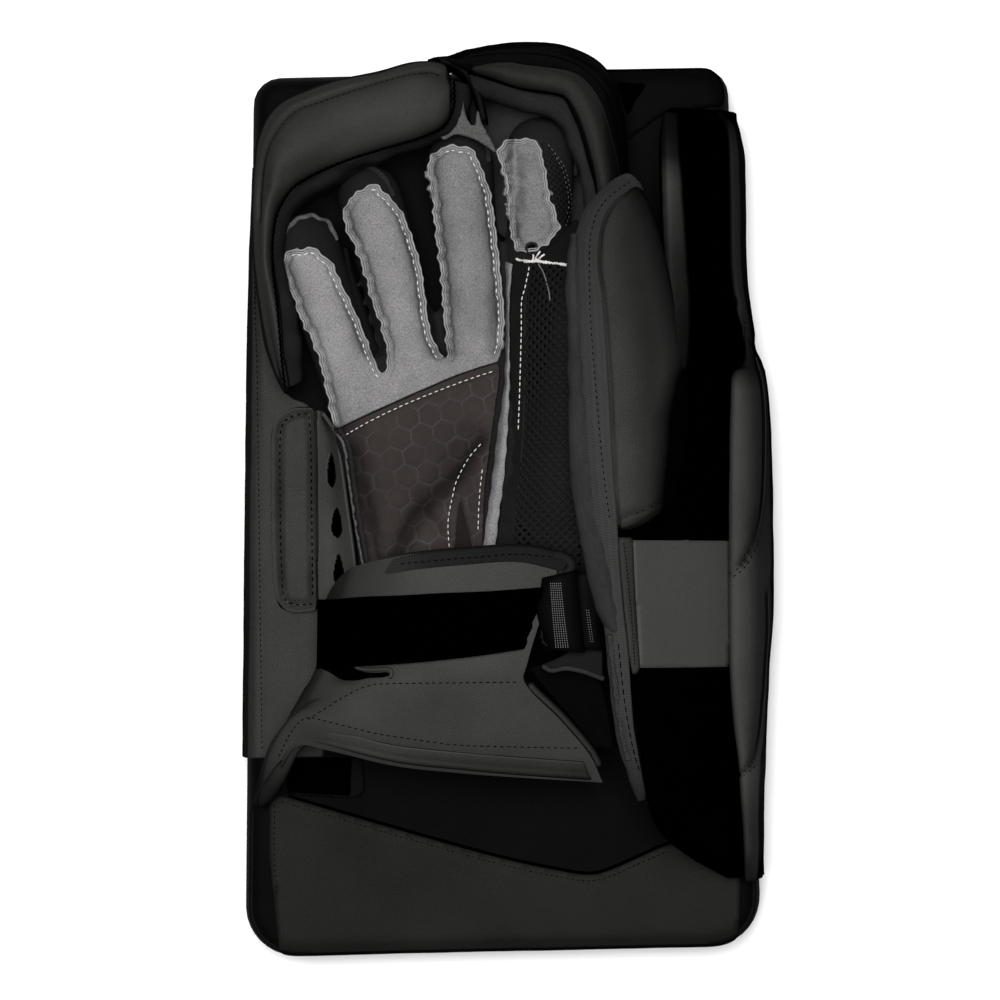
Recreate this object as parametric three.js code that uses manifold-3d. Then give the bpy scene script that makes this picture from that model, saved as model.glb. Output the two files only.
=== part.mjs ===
// Ice hockey goalie blocker for the right hand, lying on the front face of its board with the palm side up.
// Fingers point to +Y, the thumb is on the +X side and the palm faces +Z. Millimetres.
import * as THREE from 'three';
import { mergeVertices } from 'three/addons/utils/BufferGeometryUtils.js';
import Module from 'manifold-3d';

const wasm = await Module();
wasm.setup();

// Driving dimensions
const gap = 0.3;
const originShift = { x: -1.4, y: 0.5 };
const board = { topY: 185, bottomY: -195.5, topHalf: 103, bottomLeft: 114.2, bottomRight: 108.8, thick: 34 };
const boardCorner = { top: 12, bottom: 22, steps: 5 };
const palmFace = board.thick;
const deck = palmFace + gap;
const wrap = { thick: 2.2, topY: 150, bottomY: -108, low: 6 };
const glove = { wall: 2, fingerHeight: 26.5, palmLow: deck, wristY: -34, layer: 1.5 };
const guardWall = 9;
const cuffThick = 5;
const strap = { thick: 2, endX: 26.5, footX: -76 };
const buckle = { x: 22.3, y: -47, width: 17, length: 32, bar: 3.6, thick: 3.2, low: 91.2 };

const charcoal = { color: 0x2c2c2a, roughness: 0.55 };
const black = { color: 0x0a0a0a, roughness: 0.6 };
const finish = {
  leather: new THREE.MeshStandardMaterial({ ...charcoal, metalness: 0 }),
  blackLeather: new THREE.MeshStandardMaterial({ ...black, metalness: 0 }),
  suede: new THREE.MeshStandardMaterial({ color: 0x8a8888, roughness: 0.95, metalness: 0 }),
  patch: new THREE.MeshStandardMaterial({ color: 0x383030, roughness: 0.8, metalness: 0 }),
  mesh: new THREE.MeshStandardMaterial({ color: 0x151515, roughness: 0.9, metalness: 0 }),
  knit: new THREE.MeshStandardMaterial({ color: 0x1b1b1b, roughness: 0.9, metalness: 0 }),
  webbing: new THREE.MeshStandardMaterial({ color: 0x060606, roughness: 0.85, metalness: 0 }),
  plastic: new THREE.MeshStandardMaterial({ color: 0x0b0b0c, roughness: 0.3, metalness: 0 }),
};

const mix = (a, b, t) => a + (b - a) * t;
const flat = (...pairs) => pairs.map(([x, y]) => new THREE.Vector2(x, y));

// A closed solid through stations, each a section of as many points and the function that places them.
function loft(stations) {
  const sides = stations[0].section.length;
  const positions = [];
  stations.forEach(({ section, place }) => section.forEach((p) => positions.push(...place(p).toArray())));
  const index = [];
  for (let s = 0; s + 1 < stations.length; s++) {
    for (let i = 0; i < sides; i++) {
      const a = s * sides + i;
      const b = s * sides + ((i + 1) % sides);
      index.push(a, b, b + sides, a, b + sides, a + sides);
    }
  }
  const last = (stations.length - 1) * sides;
  const first = stations[0].section;
  const end = stations[stations.length - 1].section;
  const facesUp = THREE.ShapeUtils.area(first) > 0;
  const capOf = (section, start, flip) => {
    THREE.ShapeUtils.triangulateShape(section, []).forEach(([a, b, c]) => {
      if (flip) index.push(start + a, start + c, start + b);
      else index.push(start + a, start + b, start + c);
    });
  };
  capOf(first, 0, facesUp);
  capOf(end, last, !facesUp);
  return solidOf(positions, index);
}

function solidOf(positions, index) {
  const geometry = new THREE.BufferGeometry();
  geometry.setAttribute('position', new THREE.Float32BufferAttribute(positions, 3));
  geometry.setIndex(index);
  const merged = mergeVertices(geometry, 1e-4);
  const triVerts = new Uint32Array(merged.index.array);
  const vertProperties = merged.attributes.position.array;
  if (signedVolume(vertProperties, triVerts) < 0) triVerts.reverse();
  return new wasm.Manifold(new wasm.Mesh({ numProp: 3, vertProperties, triVerts }));
}

function signedVolume(vertices, triangles) {
  const corner = (i) => new THREE.Vector3().fromArray(vertices, triangles[i] * 3);
  let total = 0;
  for (let i = 0; i < triangles.length; i += 3) {
    total += corner(i).dot(corner(i + 1).cross(corner(i + 2)));
  }
  return total / 6;
}

// A section moved outwards by a distance, or inwards where it is negative.
function grow(section, distance) {
  const count = section.length;
  const turn = Math.sign(THREE.ShapeUtils.area(section));
  return section.map((p, i) => {
    const into = p.clone().sub(section[(i + count - 1) % count]).normalize();
    const out = section[(i + 1) % count].clone().sub(p).normalize();
    const normal = new THREE.Vector2(into.y + out.y, -into.x - out.x).normalize();
    const stretch = 1 / Math.max(0.6, normal.x * into.y - normal.y * into.x);
    return p.clone().addScaledVector(normal, distance * turn * stretch);
  });
}

// An upright prism over an outline, from one height to another.
function prism(outline, low, high) {
  const level = (z) => ({ section: outline, place: (p) => new THREE.Vector3(p.x, p.y, z) });
  return loft([level(low), level(high)]);
}

// Sections in the plane across X and Z, stacked along Y.
const across = (section, y) => ({ section, place: (p) => new THREE.Vector3(p.x, y, p.y) });

// Walls that follow a path on the board: each row is the outer foot, and u in the section points inwards.
function wallAlong(rows, sectionOf, side) {
  return loft(rows.map((row, i) => {
    const before = rows[Math.max(0, i - 1)];
    const after = rows[Math.min(rows.length - 1, i + 1)];
    const along = new THREE.Vector2(after.x - before.x, after.y - before.y).normalize();
    const inward = new THREE.Vector2(along.y * side, -along.x * side);
    return {
      section: sectionOf(row),
      place: (p) => new THREE.Vector3(row.x + inward.x * p.x, row.y + inward.y * p.x, p.y),
    };
  }));
}

// A sheet of even thickness under a net of points, rows by columns.
function sheetUnder(net, thick, lift = 0) {
  const rows = net.length;
  const columns = net[0].length;
  const at = (r, c) => net[Math.min(rows - 1, Math.max(0, r))][Math.min(columns - 1, Math.max(0, c))];
  const normalAt = (r, c) => {
    const alongRow = at(r, c + 1).clone().sub(at(r, c - 1));
    const alongColumn = at(r + 1, c).clone().sub(at(r - 1, c));
    return alongColumn.cross(alongRow).normalize();
  };
  const positions = [];
  [lift, lift - thick].forEach((offset) => {
    for (let r = 0; r < rows; r++) {
      for (let c = 0; c < columns; c++) {
        positions.push(...at(r, c).clone().addScaledVector(normalAt(r, c), offset).toArray());
      }
    }
  });
  const index = [];
  const under = rows * columns;
  const quad = (a, b, c, d) => index.push(a, b, c, a, c, d);
  for (let r = 0; r + 1 < rows; r++) {
    for (let c = 0; c + 1 < columns; c++) {
      const a = r * columns + c;
      quad(a, a + 1, a + columns + 1, a + columns);
      quad(under + a + columns, under + a + columns + 1, under + a + 1, under + a);
    }
  }
  for (let c = 0; c + 1 < columns; c++) {
    const end = (rows - 1) * columns + c;
    quad(c + 1, c, under + c, under + c + 1);
    quad(end, end + 1, under + end + 1, under + end);
  }
  for (let r = 0; r + 1 < rows; r++) {
    const a = r * columns;
    const b = a + columns - 1;
    quad(a, a + columns, under + a + columns, under + a);
    quad(b + columns, b, under + b, under + b + columns);
  }
  return solidOf(positions, index);
}

const sideEnds = { low: board.bottomY + boardCorner.bottom, high: board.topY - boardCorner.top };
const upSide = (y) => (y - sideEnds.low) / (sideEnds.high - sideEnds.low);
const boardLeft = (y) => -mix(board.bottomLeft, board.topHalf, upSide(y));
const boardRight = (y) => mix(board.bottomRight, board.topHalf, upSide(y));

// The board's outline, inset evenly, with arcs at the corners.
function boardOutline(inset) {
  const corner = (x, y, radius, from) => {
    const points = [];
    for (let i = 0; i <= boardCorner.steps; i++) {
      const a = (from + (90 * i) / boardCorner.steps) * (Math.PI / 180);
      points.push(new THREE.Vector2(x + radius * Math.cos(a), y + radius * Math.sin(a)));
    }
    return points;
  };
  const high = boardCorner.top;
  const low = boardCorner.bottom;
  return grow([
    ...corner(board.topHalf - high, board.topY - high, high, 0),
    ...corner(high - board.topHalf, board.topY - high, high, 90),
    ...corner(low - board.bottomLeft, board.bottomY + low, low, 180),
    ...corner(board.bottomRight - low, board.bottomY + low, low, 270),
  ], -inset);
}

// The padded edge: how far each height lies inside the widest outline.
const edgeProfile = [
  { z: 0, inset: 6 },
  { z: 2.5, inset: 2.4 },
  { z: 7, inset: 0.4 },
  { z: 14, inset: 0 },
  { z: 24, inset: 1 },
  { z: 30.5, inset: 3 },
  { z: palmFace, inset: 6.5 },
];

function mainBoard() {
  return loft(edgeProfile.map(({ z, inset }) => ({
    section: boardOutline(inset),
    place: (p) => new THREE.Vector3(p.x, p.y, z),
  })));
}

// The leather panel lapped over the board's lower end, up to the slanted seam.
const seam = { leftX: -97, leftY: -123, lowX: 33, lowY: -161, rightX: 72, rightY: -147, edgeX: 99, edgeY: -148 };
const panelThick = 1.2;

function lowerPanel() {
  const below = flat([seam.leftX - 20, seam.leftY + 5], [seam.lowX, seam.lowY], [seam.rightX, seam.rightY],
    [seam.edgeX + 20, seam.edgeY], [seam.edgeX + 20, board.bottomY - 5], [seam.leftX - 20, board.bottomY - 5]);
  return prism(boardOutline(7.2), deck, deck + panelThick).intersect(prism(below, deck - 1, deck + 3));
}

// The leather sleeve over the board's little-finger edge. Its top face is narrow beside the finger guard.
const wrapRows = [
  { y: wrap.bottomY, reach: 27 },
  { y: -60, reach: 27 },
  { y: 0, reach: 25 },
  { y: 40, reach: 22 },
  { y: 46, reach: 11 },
  { y: 54, reach: 6.2 },
  { y: 75, reach: 2.2 },
  { y: 110, reach: 1.5 },
  { y: wrap.topY, reach: 1.2 },
];

function edgeWrap() {
  const skin = edgeProfile.filter(({ z }) => z >= wrap.low);
  const sectionOf = (row) => {
    const side = boardLeft(row.y);
    const under = skin.map(({ z, inset }) => new THREE.Vector2(side + inset - gap, z + (z === palmFace ? gap : 0)));
    const inner = [...under, new THREE.Vector2(side + 6.5 + row.reach, deck)];
    const outer = inner.map((p, i) => {
      const a = inner[Math.max(0, i - 1)];
      const b = inner[Math.min(inner.length - 1, i + 1)];
      const normal = new THREE.Vector2(a.y - b.y, b.x - a.x).normalize();
      return p.clone().addScaledVector(normal, wrap.thick);
    });
    return [...inner.reverse(), ...outer];
  };
  return largest(loft(wrapRows.map((row) => across(sectionOf(row), row.y))).subtract(fingerGuardFoot()));
}
const wrapTop = deck + wrap.thick;

// Padded wall round the little finger and over the fingertips. lip is how far its top reaches inwards.
const fingerGuardRows = [
  { x: -92.5, y: 49, lip: 6.5, top: 62 },
  { x: -95.5, y: 55, lip: 8, top: 68 },
  { x: -98.8, y: 67, lip: 9.5, top: 71 },
  { x: -101.2, y: 86, lip: 9.8, top: 73 },
  { x: -102.2, y: 106, lip: 10, top: 75 },
  { x: -101.6, y: 128, lip: 13.5, top: 77 },
  { x: -100, y: 144, lip: 22, top: 78 },
  { x: -96, y: 158, lip: 30, top: 79 },
  { x: -87.5, y: 168.5, lip: 34, top: 80 },
  { x: -74, y: 175.5, lip: 34.5, top: 80 },
  { x: -53, y: 181, lip: 34, top: 80 },
  { x: -33, y: 185.3, lip: 31, top: 80 },
  { x: -20.5, y: 186, lip: 26, top: 78 },
  { x: -15.5, y: 184.5, lip: 20, top: 75 },
];

function fingerGuard() {
  const sectionOf = ({ lip, top }) => {
    const wall = Math.min(guardWall, lip - 1);
    return flat([1, deck], [wall, deck], [wall, top - 22], [wall + 0.5, top - 15.5],
      [mix(wall, lip - 1.5, 0.55), top - 13], [lip - 1.2, top - 11.5], [lip, top - 8.5], [lip - 0.5, top - 5],
      [lip * 0.84, top - 1.6], [lip * 0.52, top], [lip * 0.18 + 1, top - 4.5], [1.2, top - 13], [0, 50]);
  };
  return wallAlong(fingerGuardRows, sectionOf, 1);
}
const fingerGuardFoot = () => wallAlong(fingerGuardRows, () => flat([0.4, 29], [12, 29], [12, 60], [-0.5, 60]), 1);

// Padded wall over the index fingertip. It leans out past the board's end and curls back in at its rim.
const indexGuardRows = [
  { x: -13.4, y: 190.4, lip: 19, top: 72 },
  { x: -5, y: 193.4, lip: 21, top: 76 },
  { x: 7, y: 194.5, lip: 22, top: 78 },
  { x: 19, y: 194.2, lip: 22.5, top: 79 },
  { x: 30, y: 192.8, lip: 22.5, top: 79 },
  { x: 39.5, y: 189, lip: 22.5, top: 79 },
  { x: 47.5, y: 183.5, lip: 22, top: 79 },
  { x: 53, y: 175.5, lip: 21, top: 79 },
  { x: 56.2, y: 165, lip: 20, top: 79 },
  { x: 57.6, y: 151, lip: 18.5, top: 79 },
  { x: 57.8, y: 136, lip: 16.5, top: 79 },
  { x: 57.2, y: 121, lip: 15.5, top: 78 },
  { x: 56.4, y: 110, lip: 15, top: 75 },
];

function indexGuard() {
  const sectionOf = ({ lip, top }) => flat([lip - 9, deck], [lip - 1, deck], [lip - 5, 42], [9.4, 54],
    [lip * 0.55, top - 18], [lip - 2.5, top - 11], [lip, top - 7], [lip - 1, top - 3], [lip * 0.78, top - 0.5],
    [lip * 0.6, top - 0.8], [lip * 0.4, top - 4.5], [lip * 0.18, top - 12], [0.4, top - 21], [0, 50], [3, 42]);
  return wallAlong(indexGuardRows, sectionOf, 1);
}

// Finger stalls: centre line from base to tip, half widths, and the palm leather strip on each.
const fingers = [
  { name: 'little', baseX: -59, baseY: 46, tipX: -82, tipY: 122, baseHalf: 12.2, half: 13.6,
    strip: { tipX: -81, tipY: 109, half: 11, baseX: -61 } },
  { name: 'ring', baseX: -34, baseY: 54, tipX: -53.5, tipY: 142, baseHalf: 12.2, half: 13.8,
    strip: { tipX: -53.3, tipY: 134.5, half: 11.8, baseX: -34 } },
  { name: 'middle', baseX: -9.5, baseY: 54, tipX: -15.5, tipY: 157.5, baseHalf: 12.4, half: 14,
    strip: { tipX: -15.8, tipY: 150.5, half: 12, baseX: -9 } },
  { name: 'index', baseX: 17, baseY: 54, tipX: 17.5, tipY: 163, baseHalf: 13, half: 15,
    strip: { tipX: 11.6, tipY: 152.5, half: 9.6, baseX: 17.4 } },
];
const fingerSides = 16;
const fingerRings = [
  { along: 0, wide: 0 },
  { along: 0.3, wide: 0.7 },
  { along: 0.6, wide: 1 },
  { along: 0.78, wide: 1 },
  { along: 0.88, round: 0.9 },
  { along: 0.95, round: 0.7 },
  { along: 0.99, round: 0.38 },
];

function fingerSolid(finger, grown) {
  const base = new THREE.Vector2(finger.baseX, finger.baseY);
  const axis = new THREE.Vector2(finger.tipX, finger.tipY).sub(base);
  const length = axis.length();
  axis.normalize();
  const right = new THREE.Vector2(axis.y, -axis.x);
  const halfHigh = glove.fingerHeight / 2;
  const centreZ = glove.palmLow + halfHigh;
  return loft(fingerRings.map(({ along, wide, round = 1 }) => {
    const half = (wide === undefined ? finger.half : mix(finger.baseHalf, finger.half, wide)) * round + grown;
    const high = halfHigh * Math.sqrt(round) + grown;
    const section = [];
    for (let i = 0; i < fingerSides; i++) {
      const a = (i / fingerSides) * 2 * Math.PI;
      section.push(new THREE.Vector2(half * Math.cos(a), high * Math.sin(a)));
    }
    const distance = along * length + (round < 1 ? grown : 0);
    return {
      section,
      place: (p) => new THREE.Vector3(
        base.x + axis.x * distance + right.x * p.x,
        base.y + axis.y * distance + right.y * p.x,
        centreZ + p.y,
      ),
    };
  }));
}

// The hand's hollow across the palm. crown is the highest point, at the middle.
const palmRows = [
  { y: glove.wristY, left: -61, right: 22, edge: 50, crown: 62 },
  { y: -20, left: -61.5, right: 22, edge: 51, crown: 64 },
  { y: 5, left: -65, right: 22, edge: 52, crown: 66 },
  { y: 30, left: -70, right: 23, edge: 52, crown: 67 },
  { y: 48, left: -73.5, right: 25, edge: 51, crown: 65.5 },
  { y: 60, left: -73.5, right: 27, edge: 50, crown: 63 },
];

function palmSolid(grown) {
  const low = glove.palmLow;
  return loft(palmRows.map((row, i) => {
    const { left, right, edge, crown } = row;
    const at = (t) => mix(left, right, t);
    const section = flat([at(0.05), low], [at(0.5), low], [at(0.95), low], [right, low + 6], [right, edge],
      [at(0.95), edge + 8], [at(0.8), crown], [at(0.55), crown], [at(0.3), mix(edge, crown, 0.92)],
      [at(0.12), mix(edge, crown, 0.66)], [at(0.03), edge + 3], [left, low + 8]);
    const openEnd = i === 0 && grown < 0 ? 12 : 0;
    return across(grow(section, grown), row.y - openEnd);
  }));
}

// The ball of the thumb: the hollow rises from the palm seam to a crest beside the thumb guard.
const thumbRows = [
  { y: glove.wristY, seamX: -9, seamZ: 60, crestX: 30, crestZ: 70 },
  { y: -20, seamX: -8, seamZ: 63, crestX: 31, crestZ: 74 },
  { y: 0, seamX: -5, seamZ: 65.5, crestX: 32, crestZ: 81 },
  { y: 25, seamX: -1, seamZ: 66.5, crestX: 33, crestZ: 86 },
  { y: 60, seamX: 5, seamZ: 64, crestX: 33, crestZ: 88 },
  { y: 85, seamX: 9, seamZ: 61, crestX: 35, crestZ: 87 },
  { y: 103, seamX: 14, seamZ: 59, crestX: 38, crestZ: 82 },
];
const thumbSide = 46;

function thumbBallSolid(grown) {
  return loft(thumbRows.map((row, i) => {
    const { seamX, seamZ, crestX, crestZ } = row;
    const section = flat([seamX, deck + 12], [crestX, deck + 12], [thumbSide - 2, deck + 16], [thumbSide, crestZ - 14],
      [thumbSide - 3, crestZ - 3], [mix(crestX, thumbSide, 0.4), crestZ], [crestX, crestZ],
      [mix(seamX, crestX, 0.68), mix(seamZ, crestZ, 0.72)], [mix(seamX, crestX, 0.36), mix(seamZ, crestZ, 0.34)],
      [seamX, seamZ]);
    const openEnd = i === 0 && grown < 0 ? 12 : 0;
    return across(grow(section, grown), row.y - openEnd);
  }));
}

function everyFinger(grown) {
  return fingers.map((finger) => fingerSolid(finger, grown));
}
const union = (solids) => solids.reduce((whole, next) => whole.add(next));
const handBody = (grown) => palmSolid(grown).add(thumbBallSolid(grown));
const wholeHand = (grown) => union([handBody(grown), ...everyFinger(grown)]);
const hollow = union([handBody(-glove.wall), ...everyFinger(-glove.wall)]);

function fingerStall(i) {
  let stall = fingerSolid(fingers[i], 0).subtract(handBody(gap)).subtract(hollow);
  if (i > 0) stall = stall.subtract(fingerSolid(fingers[i - 1], gap));
  return largest(stall);
}
const largest = (solid) => solid.decompose().reduce((a, b) => (a.volume() > b.volume() ? a : b));

// Leathers sewn on the palm follow the glove under them.
const skin = wholeHand(gap + glove.layer).subtract(wholeHand(gap));
const onPalm = (outline) => largest(skin.intersect(prism(outline, glove.palmLow + 14, 130)));

// A strip with parallel sides and a round tip.
function stripOutline({ baseX, baseY, strip }) {
  const base = new THREE.Vector2(strip.baseX, baseY - 6);
  const axis = new THREE.Vector2(strip.tipX, strip.tipY).sub(base);
  const length = axis.length() - strip.half;
  axis.normalize();
  const right = new THREE.Vector2(axis.y, -axis.x);
  const point = (distance, side) => base.clone().addScaledVector(axis, distance).addScaledVector(right, side);
  const points = [point(0, -strip.half), point(0, strip.half)];
  for (let i = 0; i <= 8; i++) {
    const a = (i / 8) * Math.PI;
    points.push(point(length + strip.half * Math.sin(a), strip.half * Math.cos(a)));
  }
  return points;
}

// The seam between the finger leather and the lower palm, and the welt along the thumb side.
const palmSeam = { leftX: -70, leftY: 31, midX: -32, midY: 47.3, rightX: 1.5, rightY: 58.5 };
const weltRows = [
  { y: 76, left: 3.4, right: 5.2 },
  { y: 50, left: 0.4, right: 4.4 },
  { y: 25, left: -3.4, right: 1.8 },
  { y: 0, left: -6.8, right: -0.8 },
  { y: -30, left: -8, right: -1 },
];
const weltEdge = (side, shift) => weltRows.map((row) => new THREE.Vector2(row[side] + shift, row.y));

function palmSuede() {
  const palm = flat([palmSeam.leftX - 5, palmSeam.leftY - 2], [palmSeam.midX, palmSeam.midY],
    [palmSeam.rightX - 1, palmSeam.rightY], [3, 70], [-10, 72], [-22, 60], [-34, 66], [-49, 54], [-60, 60], [-76.5, 62]);
  const strips = fingers.slice(0, 3).map((finger) => prism(stripOutline(finger), 0, 130));
  const aboveSeam = prism(flat([-110, 13.6], [palmSeam.midX, palmSeam.midY], [palmSeam.rightX - 0.8, palmSeam.rightY],
    [3, 76], [3, 200], [-110, 200]), 0, 130);
  const shape = union([prism(palm, 0, 130), ...strips]).intersect(aboveSeam);
  return largest(skin.intersect(shape).intersect(prism(flat([-110, 0], [20, 0], [20, 200], [-110, 200]), 49, 130)));
}

function indexSuede() {
  const strip = onPalm(stripOutline(fingers[3]));
  const above = prism(flat([-10, 107], [4, 105], [19, 104], [40, 120], [40, 200], [-10, 200]), 50, 130);
  return largest(strip.intersect(above));
}

function palmPatch() {
  const outline = [
    ...flat([palmSeam.leftX + 3.4, palmSeam.leftY - 1], [palmSeam.midX, palmSeam.midY - gap * 1.3],
      [palmSeam.rightX - 1.2, palmSeam.rightY - gap * 1.5]),
    ...weltEdge('left', -gap).slice(1),
    ...flat([-57, -30]),
  ];
  return onPalm(outline);
}

function palmWelt() {
  return onPalm([...weltEdge('left', 0), ...weltEdge('right', 0).reverse()]);
}

function thumbWeb() {
  const right = thumbRows.filter(({ y }) => y < 90).map(({ y, crestX }) => new THREE.Vector2(crestX + 2, y));
  return onPalm([...weltEdge('right', gap).slice(0, 4).reverse(), ...flat([12, 92], [18.5, 102], [32, 102]),
    ...right.reverse().slice(0, -1), ...flat([31, -26], [-0.7, -26])]);
}

// The cuff: rows run from the finger side to the mouth, points from the little-finger foot over the wrist.
const cuffFoot = wrapTop + gap + cuffThick * 0.1;
const cuffRows = [
  { foot: [-77, -44, cuffFoot], side: [-73, -39, 54], shoulder: [-62, -33.5, 70], crown: [-34, -26, 84],
    far: [0, -23, 88.5], end: [27, -26, 85] },
  { foot: [-79, -52, cuffFoot], side: [-76, -46, 55], shoulder: [-64, -40, 72.5], crown: [-34, -36, 85],
    far: [-2, -34, 88.5], end: [20, -35, 87.5] },
  { foot: [-84, -74, cuffFoot], side: [-80, -70, 56], shoulder: [-66, -68, 74], crown: [-34, -67, 85.5],
    far: [-6, -66, 88], end: [14, -65, 87.5] },
  { foot: [-93, -93, cuffFoot], side: [-89, -88, 55], shoulder: [-70, -83, 75], crown: [-40, -78, 84],
    far: [-10, -77.5, 86.5], end: [11, -76, 86.5] },
  { foot: [-102, -112, cuffFoot], side: [-97, -102, 55], shoulder: [-80, -92, 72], crown: [-45, -98, 78],
    far: [-5, -102, 81], end: [34, -103, 80] },
  { foot: [-105.5, -128, cuffFoot], side: [-99.5, -117, 56], shoulder: [-86, -102, 69], crown: [-50, -108, 74],
    far: [-5, -113.5, 76.5], end: [39, -118, 74] },
];
const cuffStops = ['foot', 'side', 'shoulder', 'crown', 'far', 'end'];
const cuffSteps = { along: 13, down: 11 };

// The cuff's outer face at shares of its arch and its length.
const cuffCurves = cuffRows.map((row) => new THREE.CatmullRomCurve3(cuffStops.map((stop) => new THREE.Vector3(...row[stop]))));
const cuffPoint = (arch, down) => new THREE.CatmullRomCurve3(cuffCurves.map((curve) => curve.getPoint(arch))).getPoint(down);

function cuffNet(fromArch, toArch, fromDown, toDown, along, down) {
  const net = [];
  for (let r = 0; r <= down; r++) {
    const row = [];
    for (let c = 0; c <= along; c++) {
      row.push(cuffPoint(mix(fromArch, toArch, c / along), mix(fromDown, toDown, r / down)));
    }
    net.push(row);
  }
  return net;
}

function wristCuff() {
  const floor = prism(flat([-130, -150], [60, -150], [60, 0], [-130, 0]), wrapTop + gap, 130);
  return largest(sheetUnder(cuffNet(0, 1, 0, 1, cuffSteps.along, cuffSteps.down), cuffThick).intersect(floor));
}

// The strap lies on the cuff, dips under the buckle's near bar and comes up over its middle bar.
function wristStrap() {
  const band = [];
  const stops = 15;
  for (let i = 0; i <= stops; i++) {
    const arch = mix(0.12, 0.9, i / stops);
    band.push([cuffPoint(arch, 0.215), cuffPoint(arch, 0.385)]);
  }
  const lift = gap + strap.thick;
  const profile = (side) => band.map((pair, i) => {
    const before = band[Math.max(0, i - 1)][side];
    const after = band[Math.min(stops, i + 1)][side];
    const normal = new THREE.Vector2(before.z - after.z, after.x - before.x).normalize();
    return { x: pair[side].x, z: pair[side].z, nx: normal.x, nz: normal.y };
  });
  const y = [buckle.y + strapHalf(), buckle.y - strapHalf()];
  const stations = [0, 0.33, 0.67, 1].map((t) => {
    const a = profile(0);
    const b = profile(1);
    const points = a.map((p, i) => ({
      x: mix(p.x, b[i].x, t), z: Math.max(p.z, b[i].z) + 0.5, nx: mix(p.nx, b[i].nx, t), nz: mix(p.nz, b[i].nz, t),
    })).filter((p) => p.x < buckle.x - 12);
    const low = buckle.low - gap;
    const middleTop = buckle.low + buckle.thick + gap;
    const rise = [
      [buckle.x - 9, low - strap.thick, low], [buckle.x - 4.6, low - strap.thick, low],
      [buckle.x - 2.6, low + 0.6, middleTop + 0.2], [buckle.x - 1.5, middleTop, middleTop + strap.thick],
      [buckle.x + 1.5, middleTop, middleTop + strap.thick],
    ];
    const under = [...points.map((p) => [p.x + p.nx * gap, p.z + p.nz * gap]), ...rise.map(([x, z]) => [x, z])];
    const over = [...points.map((p) => [p.x + p.nx * lift, p.z + p.nz * lift]), ...rise.map(([x, , z]) => [x, z])];
    const tail = [[buckle.x + 1.5, low], [buckle.x + 2.6, low], [buckle.x + 2.6, middleTop + strap.thick - 0.5]];
    return across(flat(...under, ...tail, ...over.reverse()), mix(y[0], y[1], t));
  });
  const above = prism(flat([-130, -90], [60, -90], [60, 0], [-130, 0]), wrapTop + gap, 130);
  return largest(loft(stations).subtract(cuffGrown()).intersect(above));
}
const strapHalf = () => buckle.length / 2 - buckle.bar - 0.8;
const cuffGrown = () => sheetUnder(cuffNet(0, 1, 0.1, 0.5, 18, 8), cuffThick, gap);

function strapBuckle() {
  const frame = (halfX, halfY, chamfer, shift = 0) => flat([shift + halfX, halfY - chamfer], [shift + halfX - chamfer, halfY],
    [shift - halfX + chamfer, halfY], [shift - halfX, halfY - chamfer], [shift - halfX, chamfer - halfY],
    [shift - halfX + chamfer, -halfY], [shift + halfX - chamfer, -halfY], [shift + halfX, chamfer - halfY])
    .map((p) => new THREE.Vector2(p.x + buckle.x, p.y + buckle.y));
  const high = buckle.low + buckle.thick;
  const slotHalf = (buckle.width - 2 * buckle.bar - middleBar) / 4;
  const slotShift = middleBar / 2 + slotHalf;
  const body = prism(frame(buckle.width / 2, buckle.length / 2, 2.5), buckle.low, high);
  const slot = (shift) => prism(frame(slotHalf, buckle.length / 2 - buckle.bar, 0.6, shift), buckle.low - 1, high + 1);
  return body.subtract(slot(-slotShift)).subtract(slot(slotShift));
}
const middleBar = 2.2;

// Webbing round the buckle's far bar, down beside the lining roll.
function buckleWebbing() {
  const far = buckle.x + buckle.width / 2;
  const low = buckle.low - gap;
  const high = buckle.low + buckle.thick + gap;
  const near = far - buckle.bar - gap;
  const thick = 1.6;
  const section = flat([near - thick, low - 0.8], [near - thick, high + 1], [near - 0.6, high + thick],
    [far + 1.4, high + thick], [far + 4.5, high - 4], [far + 5, 82], [far + 3, 74], [far + 1.4, 74.5], [far + 2.4, 82],
    [far + 1.2, high - 3.4], [far + gap, high], [near, high], [near, low], [far - 0.6, low], [far - 0.6, low - thick],
    [near - 0.8, low - thick]);
  const half = strapHalf() - 1;
  return loft([across(section, buckle.y - half), across(section, buckle.y), across(section, buckle.y + half)]);
}

// The side board: a padded fender from the thumb's inner edge over to the board's thumb-side edge.
const sideRows = [
  { y: 163, innerX: 76, innerZ: 70, outerX: 104.5 },
  { y: 157, innerX: 72, innerZ: 76, outerX: 107 },
  { y: 145, innerX: 71, innerZ: 79, outerX: 108.4 },
  { y: 120, innerX: 71, innerZ: 80, outerX: 108.6 },
  { y: 92, innerX: 70.5, innerZ: 80.5, outerX: 108.8 },
  { y: 65, innerX: 67, innerZ: 82, outerX: 111.4 },
  { y: 46, innerX: 61, innerZ: 86, outerX: 115.6 },
  { y: 10, innerX: 52, innerZ: 91, outerX: 117.2 },
  { y: -18, innerX: 48.5, innerZ: 94, outerX: 117.4 },
  { y: -45, innerX: 49.5, innerZ: 94, outerX: 116.6 },
  { y: -72, innerX: 53, innerZ: 92.5, outerX: 114.4 },
  { y: -98, innerX: 56.5, innerZ: 89, outerX: 112.8 },
  { y: -124, innerX: 59, innerZ: 82, outerX: 111.4 },
  { y: -140, innerX: 64, innerZ: 73, outerX: 110.4 },
  { y: -153, innerX: 78, innerZ: 59, outerX: 110 },
  { y: -163, innerX: 92, innerZ: 46, outerX: 109.6 },
];

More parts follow.
